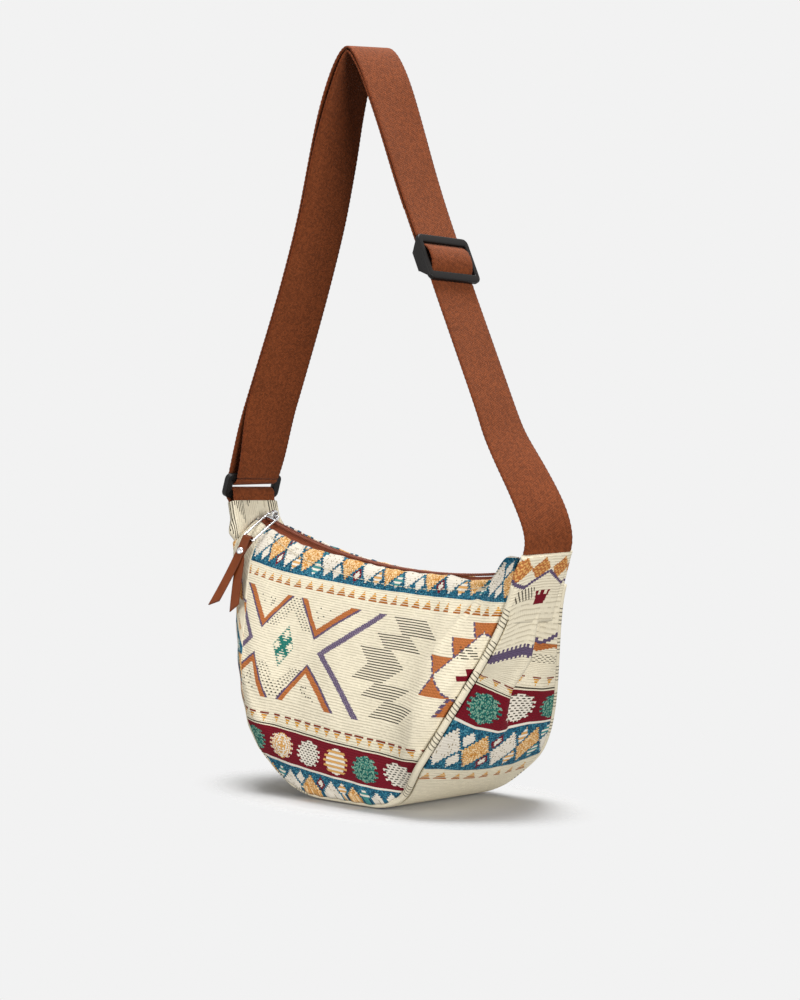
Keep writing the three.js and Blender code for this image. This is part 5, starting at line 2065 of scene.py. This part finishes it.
@dataclass
class Strap:
    """Webbing strap with its ring and adjuster, in the x-z plane."""

    form: BagForm
    cloth: Paint
    plastic: Paint
    half_width: float = 19.0
    webbing: float = 1.5
    jagged: float = 0.16
    first_layer: float = 2.85
    second_layer: float = 4.65
    overlap: float = 20.0
    crest: Pair = (-20.0, 494.0)
    limb_foot: Pair = (100.0, 240.0)
    limb_head: Pair = (40.0, 371.0)
    left_limb: Pair = (-61.0, 397.0)
    left_lean: float = 15.7
    adjuster_share: float = 0.81
    ring_lean: float = 19.0
    ring_pitch: float = 12.0
    ring_bar: float = 5.0
    ring_thickness: float = 4.0
    bar_wrap: float = 4.2516
    loop_rise: float = 12.5
    loop_lean: float = -22.0
    slot_half: float = 19.6
    adjuster_length: float = 32.0
    adjuster_bar: float = 5.5
    adjuster_middle: float = 8.0
    adjuster_plate: float = 3.6
    adjuster_rail: float = 3.6
    layer_step: float = 2.1
    tab_handle: float = 20.0
    foot_handle: float = 24.0
    head_handle: float = 60.0
    crest_handle: float = 15.0
    left_handles: Pair = (45.0, 60.0)
    ring_handle: float = 48.0
    fold_start: float = -0.7
    slot_room: float = 0.3
    tail_start: float = 8.0
    tail_end: float = 10.0
    twists: Pairs = (
        (0, 2), (20, 8), (45, 12), (80, 8), (112, 0), (235, 0), (300, 3), (355, 9), (385, 8), (440, -7)
    )
    end_twists: Pairs = ((150, -10), (55, -17), (20, -5), (0, 0))
    return_twists: Pairs = ((0, 1), (60, 3), (118, 9), (148, 8), (200, -7))
    return_end_twists: Pairs = ((150, -10), (50, -17), (12, -5), (0, 0))
    window_line: Pairs = (
        (-11.5, 0.5), (-9.8, 1.9), (-7.0, 4.2), (-3.0, 5.7), (1.0, 6.0), (5.0, 5.3), (8.4, 3.2),
        (10.4, 1.4), (11.5, 0.5),
    )
    turn_line: Pairs = (
        (8.6, -2.1), (6.4, -2.6), (5.0, -3.9), (3.6, -4.7), (0.0, -4.8), (-3.6, -4.7), (-5.0, -3.8),
        (-5.4, -2.6),
    )

    def __post_init__(self) -> None:
        """Lays out the route."""
        foot, head = np.array(self.limb_foot), np.array(self.limb_head)
        self.limb_up = unit(head - foot)
        self.adjuster_at = foot + (head - foot) * self.adjuster_share
        self.ring_up = self._leaning(self.ring_lean)
        x, z, inx, inz, _, _ = self.form.edge(0.0)
        depth = (self.first_layer + self.second_layer) / 2
        tab = np.array([x + inx * depth, z + inz * depth])
        self.lower_bar = tab + self._leaning(self.loop_lean) * self.loop_rise
        self.upper_bar = self.lower_bar + self.ring_up * self.ring_pitch
        limb = np.array(self.left_limb)
        limb_up = self._leaning(self.left_lean)
        crest = np.array(self.crest)
        self.sewn = self._inside_tab(True, self.first_layer)
        tab_top, tab_way = self.sewn[-1], unit(self.sewn[-1] - self.sewn[-2])
        tab_handle, foot_handle = tab_way * self.tab_handle, self.limb_up * self.foot_handle
        head_handle, level = self.limb_up * self.head_handle, (self.crest_handle, 0)
        above, below = (limb_up * handle for handle in self.left_handles)
        self.rise = bezier(tab_top, tab_top + tab_handle, foot - foot_handle, foot, 40)
        self.over = bezier(head, head + head_handle, crest + level, crest, 40)
        self.past = bezier(crest, crest - level, limb + above, limb, 40)
        self.ring_turn = self._bar_turn(self.upper_bar, -1.0, 0.0)
        start = self.ring_turn[0]
        ring_handle = unit(limb - self.upper_bar) * self.ring_handle
        self.to_ring = bezier(limb, limb - below, start + ring_handle, start, 40)

    @staticmethod
    def _leaning(angle: float) -> Points:
        """The direction that leans from upright by an angle."""
        return np.array([math.sin(math.radians(angle)), math.cos(math.radians(angle))])

    def _bar_turn(self, centre: Points, sign: float, start: float) -> Points:
        """Half a turn around a bar of the ring.

        Args:
            centre: The bar.
            sign: 1 over it, -1 under it.
            start: Where the turn begins, in radians.

        Returns:
            Points in the x-z plane.
        """
        turn = np.linspace(start, math.pi, 20)[:, None]
        side = np.array([self.ring_up[1], -self.ring_up[0]])
        return centre + (self.ring_up * sign * np.sin(turn) - side * np.cos(turn)) * self.bar_wrap

    def _inside_tab(self, right: bool, depth: float) -> Points:
        """The stretch that is sewn into a tab, from its hidden end up.

        Args:
            right: Which tab.
            depth: How far it lies inside the cloth's outer face.

        Returns:
            Points in the x-z plane.
        """
        share = np.linspace(self.overlap, 0, 8) / self.form.length
        x, z, inx, inz, _, _ = self.form.edge(1 - share if right else share)
        return np.stack([x + inx * depth, z + inz * depth], -1)

    def band(
        self,
        name: str,
        route: Points,
        twists: Sequence[Pair] = ((0.0, 0.0),),
        narrower: float = 0.0,
    ) -> Piece:
        """Makes a band of webbing.

        Args:
            name: Name of the piece.
            route: Points in the x-z plane.
            twists: How many degrees it is turned at which distance along it.
            narrower: How much narrower it is at each edge.

        Returns:
            The piece.
        """
        flat = resampled(route, 1.6)
        line = np.stack([flat[:, 0], np.zeros(len(flat)), flat[:, 1]], -1)
        way = unit(np.gradient(line, axis=0))
        out = np.cross(Y_AXIS, way)
        places, turns = np.array(twists).T
        angle = np.radians(np.interp(lengths(line), places, turns))
        kernel = np.hanning(25)
        angle = np.convolve(np.pad(angle, 12, mode="edge"), kernel / kernel.sum(), mode="valid")
        across = np.cos(angle)[:, None] * Y_AXIS + np.sin(angle)[:, None] * out
        line = line + out * (0.2 * soft_noise(line, 40.0, 1.3))[:, None]
        half = self.half_width - narrower
        return ribbon_object(name, line, across, half, self.webbing, jagged=self.jagged)

    @staticmethod
    def upright(place: Points, up: Points) -> Matrix:
        """Axes of a piece that stands across the strap, from a place and a direction in the x-z plane."""
        return frame_matrix(Y_AXIS, (up[0], 0, up[1]), (place[0], 0, place[1]))

    @staticmethod
    def beside(route: Points, near: float, far: float) -> Points:
        """A run on the inner side of another, which parts from it at its end.

        Args:
            route: The other run's points.
            near: Distance at the start.
            far: Distance at the end.

        Returns:
            Points in the x-z plane.
        """
        along = lengths(route)
        way = unit(np.gradient(route, axis=0))
        left = np.stack([-way[:, 1], way[:, 0]], -1)
        apart = near + (far - near) * smooth((0.88, 0.995), along / along[-1])
        return route + left * apart[:, None]

    def build(self) -> None:
        """Makes every piece."""
        self.build_webbing()
        self.build_return()
        self.build_ring()
        self.build_adjuster()

    def build_webbing(self) -> None:
        """Makes the strap's outer run, from the right tab over the crest to the ring."""
        runs = (self.rise[1:], self.over, self.past[1:], self.to_ring[1:], self.ring_turn[1:])
        outer = np.vstack([self.sewn, *runs])
        total = lengths(outer)[-1]
        twists = [*self.twists, *((total - left, turn) for left, turn in self.end_twists)]
        strap = self.band("strap_webbing", outer, twists)
        finish_piece(strap, self.cloth, BAG, "webbing", "strap")

    def build_return(self) -> None:
        """Makes the strap's inner run, from the ring back to the adjuster, with an end that follows it."""
        split = np.array(self.limb_head) + self.limb_up * self.tail_end
        start = self.adjuster_at + self.limb_up * self.tail_start
        guide = resampled(np.vstack([start, self.over, self.past[1:], self.to_ring[1:-1]]), 3.0)
        run = self.beside(guide, self.layer_step, 2 * self.bar_wrap)
        first = int(np.argmax((run - split) @ self.limb_up > 0))
        end = self.ring_turn[-1] + self.ring_up * 0.6
        total = lengths(run[first:])[-1]
        twists = [*self.return_twists, *((total - left, turn) for left, turn in self.return_end_twists)]
        back = self.band("strap_return_webbing", np.vstack([run[first:-1], end]), twists)
        finish_piece(back, self.cloth, BAG, "webbing", "strap_return")
        tail = self.band("strap_return_end", run[: first + 1])
        finish_piece(tail, self.cloth, "", "webbing")
        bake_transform(tail)

    def build_ring(self) -> None:
        """Makes the loop of webbing that holds the ring, and models the ring."""
        up = self._inside_tab(False, self.first_layer)
        down = self._inside_tab(False, self.second_layer)[::-1]
        loop = np.vstack([up, self._bar_turn(self.lower_bar, 1.0, self.fold_start), down])
        finish_piece(self.band("ring_loop_webbing", loop), self.cloth, BAG, "webbing", "ring_loop")
        bar = self.ring_bar
        size = (2 * (self.slot_half + bar), self.ring_pitch + bar)
        obj = rounded_frame("strap_ring_frame", size, bar, bar, self.ring_thickness, bar * 0.8, 1.5)
        placed(obj, self.upright((self.lower_bar + self.upper_bar) / 2, self.ring_up))
        finish_piece(obj, self.plastic, BAG, "plastic", "strap_ring")

    def build_adjuster(self) -> None:
        """Models the adjuster, with the webbing in its window and around its middle bar."""
        plate, rail, long = self.adjuster_plate, self.adjuster_rail, self.adjuster_length
        clear = self.webbing / 2 + self.slot_room
        size = (2 * (self.slot_half + rail), long)
        frame = rounded_frame("strap_adjuster_frame", size, rail, self.adjuster_bar, plate, 4.0, 0.9)
        parts = [placed(frame, Matrix.Translation((0, 0, (clear + plate / 2) * MM)))]
        under = clear + plate
        tall = under + clear + plate / 2
        for side in (-1, 1):
            place = (side * (self.slot_half + rail / 2), 0, tall / 2 - under)
            cheek = rounded_block("cheek", (rail * 0.9, long * 0.86, tall), place, 0.6)
            with editing(cheek, lambda p: p.z < place[2]):
                bpy.ops.transform.resize(value=(1.0, 0.5, 1.0))
            parts.append(cheek)
        size = (2 * self.slot_half + rail, self.adjuster_middle, plate)
        parts.append(rounded_block("bar", size, (0, 0, -clear - plate / 2), 0.9))
        adjuster = placed(joined(parts), self.upright(self.adjuster_at, self.limb_up))
        finish_piece(adjuster, self.plastic, "strap_adjuster", "plastic", "strap_adjuster")
        axes = np.array([self.limb_up, (self.limb_up[1], -self.limb_up[0])])
        for name, path in (("adjuster_webbing", self.window_line), ("adjuster_turn", self.turn_line)):
            obj = self.band(name, self.adjuster_at + np.array(path) @ axes, narrower=self.slot_room)
            finish_piece(obj, self.cloth, "strap_adjuster", "webbing")


# Stitching.


@dataclass
class Stitching:
    """Rows of sewing thread along both hems."""

    body: Body
    thread: Paint
    stitch: float = 2.6
    pitch: float = 3.4
    thick: float = 0.28
    arch: float = 0.25
    rise: float = 0.05
    line: int = 7
    ends: tuple[int, int] = (14, 12)
    stretches: int = 24

    def row(self, points: Points, out: Points) -> tuple[list, list]:
        """Lays stitches along a line.

        Args:
            points: The line.
            out: The direction that the stitches stand out in.

        Returns:
            Vertices and faces.
        """
        line = resampled(points, self.pitch)
        vertices, faces = [], []
        for start, end in zip(line[:-1], line[1:]):
            way = unit(end - start)
            side = unit(np.cross(way, out))
            base = len(vertices)
            for share, size in ((0.0, 0.5), (0.2, 1.0), (0.6, 1.0), (self.stitch / self.pitch, 0.5)):
                lift = self.arch * math.sin(math.pi * min(share * 1.3, 1))
                middle = start + (end - start) * share + out * lift
                for turn in np.linspace(0, 2 * math.pi, 6, endpoint=False):
                    ring = math.cos(turn) * side + math.sin(turn) * out
                    vertices.append(middle + ring * self.thick * size)
            for ring in range(3):
                for k in range(6):
                    a, b = base + ring * 6 + k, base + ring * 6 + (k + 1) % 6
                    faces.append([a, b, b + 6, a + 6])
            faces.append([base + k for k in range(5, -1, -1)])
            faces.append([base + 18 + k for k in range(6)])
        return vertices, faces

    def build(self) -> None:
        """Sews both hems, a little below their edges."""
        hems = (("hem_stitches_front", False, np.ones(3)), ("hem_stitches_back", True, MIRROR))
        for name, back, mirror in hems:
            grid, _ = self.body.panel_grid(back)
            normals = grid_normals(grid)[:, self.line]
            vertices, faces = [], []
            columns = np.arange(self.ends[0], len(grid) - self.ends[1])
            for part in np.array_split(columns, self.stretches):
                out = unit(normals[part].mean(0)) * mirror
                points = grid[np.r_[part, part[-1] + 1], self.line] * mirror
                new_vertices, new_faces = self.row(points + out * self.rise, out)
                base = len(vertices)
                vertices += new_vertices
                faces += [[base + k for k in face] for face in new_faces]
            obj = face_out(new_object(name, np.array(vertices), faces))
            finish_piece(obj, self.thread, BAG, "jacquard")


# Studio.


@dataclass(frozen=True)
class Lamp:
    """A square lamp: where it hangs, what it points at, its size in metres and its power in watts."""

    name: str
    place: Triple
    aim: Triple
    size: float
    power: float


@dataclass
class Studio:
    """Pale floor, soft lamps and the camera, in metres."""

    backdrop: Colour = srgb(242, 242, 242)
    floor: Colour = (0.66, 0.66, 0.66, 1.0)
    floor_radius: float = 2.0
    floor_drop: float = 0.0006
    footprint: Pair = (0.10, 0.06)
    fade: Pair = (0.9, 2.8)
    sky: Colour = (1.0, 0.99, 0.97, 1.0)
    sky_strength: float = 0.17
    lamps: tuple[Lamp, ...] = (
        Lamp("overhead", (-0.12, 0.12, 1.6), (0.0, 0.0, 0.0), 0.9, 34.0),
        Lamp("left_front", (-0.3, -1.65, 0.32), (0.0, 0.0, 0.2), 0.7, 13.2),
        Lamp("right", (1.65, -0.5, 0.32), (0.0, 0.0, 0.2), 0.7, 24.5),
    )
    lens: float = 70.2
    sensor: float = 36.0
    shift: Pair = (0.012, -0.010)
    eye: Triple = (0.907, -0.907, 0.2)
    eye_turn: Triple = (math.pi / 2, 0.0, math.pi / 4)

    def build(self) -> None:
        """Makes the floor, the light and the camera."""
        self.build_floor()
        self.build_world()
        self.build_lamps()
        self.build_camera()

    def build_floor(self) -> None:
        """Makes a floor that takes the shadow, and fades out into the backdrop."""
        size = {"vertices": 96, "radius": self.floor_radius, "location": (0, 0, -self.floor_drop)}
        floor = primitive("studio_floor", bpy.ops.mesh.primitive_circle_add, fill_type="NGON", **size)
        graph = Graph("studio_floor")
        x, y, _ = graph.parts(graph.place())
        across, deep = x / self.footprint[0], y / self.footprint[1]
        limits = {0: across * across + deep * deep, 1: self.fade[0], 2: self.fade[1]}
        share = graph.node("ShaderNodeMapRange", {"interpolation_type": "SMOOTHSTEP"}, limits)
        graph.dress(self.floor, 1.0)
        graph.constant({"Specular IOR Level": 0.0})
        clear = graph.node("ShaderNodeBsdfTransparent")
        layers = {0: share.outputs[0], 1: graph.shader.outputs[0], 2: clear.outputs[0]}
        graph.feed(graph.surface, graph.node("ShaderNodeMixShader", inputs=layers).outputs[0])
        floor.data.materials.append(graph.material)

    def build_world(self) -> None:
        """Makes soft light from all round, and a pale backdrop for the camera and for reflections."""
        graph = Graph("studio", bpy.data.worlds.new("studio"))
        bpy.context.scene.world = graph.material
        graph.feed(graph.shader.inputs["Color"], self.sky)
        graph.feed(graph.shader.inputs["Strength"], self.sky_strength)
        shown = graph.node("ShaderNodeBackground", inputs={"Color": self.backdrop})
        path = graph.node("ShaderNodeLightPath").outputs
        rays = ("Is Camera Ray", "Is Glossy Ray", "Is Transmission Ray")
        camera, glossy, through = (graph.value(path[ray]) for ray in rays)
        layers = {0: camera | glossy | through, 1: graph.shader.outputs[0], 2: shown.outputs[0]}
        graph.feed(graph.surface, graph.node("ShaderNodeMixShader", inputs=layers).outputs[0])

    def build_lamps(self) -> None:
        """Hangs the lamps: one overhead, one at the left in front and one at the right."""
        for lamp in self.lamps:
            data = bpy.data.lights.new(lamp.name, "AREA")
            data.size = lamp.size
            data.energy = lamp.power
            obj = bpy.data.objects.new(lamp.name, data)
            obj.location = lamp.place
            way = Vector(lamp.aim) - Vector(lamp.place)
            obj.rotation_euler = way.to_track_quat("-Z", "Y").to_euler()
            bpy.context.scene.collection.objects.link(obj)

    def build_camera(self) -> None:
        """Sets the photograph's view: level, from the front right."""
        data = bpy.data.cameras.new("camera")
        data.lens = self.lens
        data.sensor_width = self.sensor
        data.shift_x, data.shift_y = self.shift
        camera = bpy.data.objects.new("camera", data)
        camera.location = self.eye
        camera.rotation_euler = self.eye_turn
        bpy.context.scene.collection.objects.link(camera)
        bpy.context.scene.camera = camera


def main() -> None:
    """Builds the bag piece by piece, then the studio around it."""
    logging.basicConfig(level=logging.INFO, format="%(message)s")
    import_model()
    form = BagForm()
    front = Jacquard().build()
    side = Jacquard(name="jacquard_side", cut=Cut.SIDE, lozenge_start=-124.1).build()
    metal, tape = METAL.build(), ZipCloth().build()
    body = Body(form, front, side, PipingCloth().build())
    body.build()
    Stitching(body, THREAD.build()).build()
    Zip(form, tape, COIL.build(), metal, front, LiningCloth().build()).build()
    ZipPull(form, metal, Leather().build()).build()
    Strap(form, Webbing().build(), PLASTIC.build()).build()
    Studio().build()
    bpy.context.scene.view_settings.view_transform = "Standard"


if __name__ == "__main__":
    main()
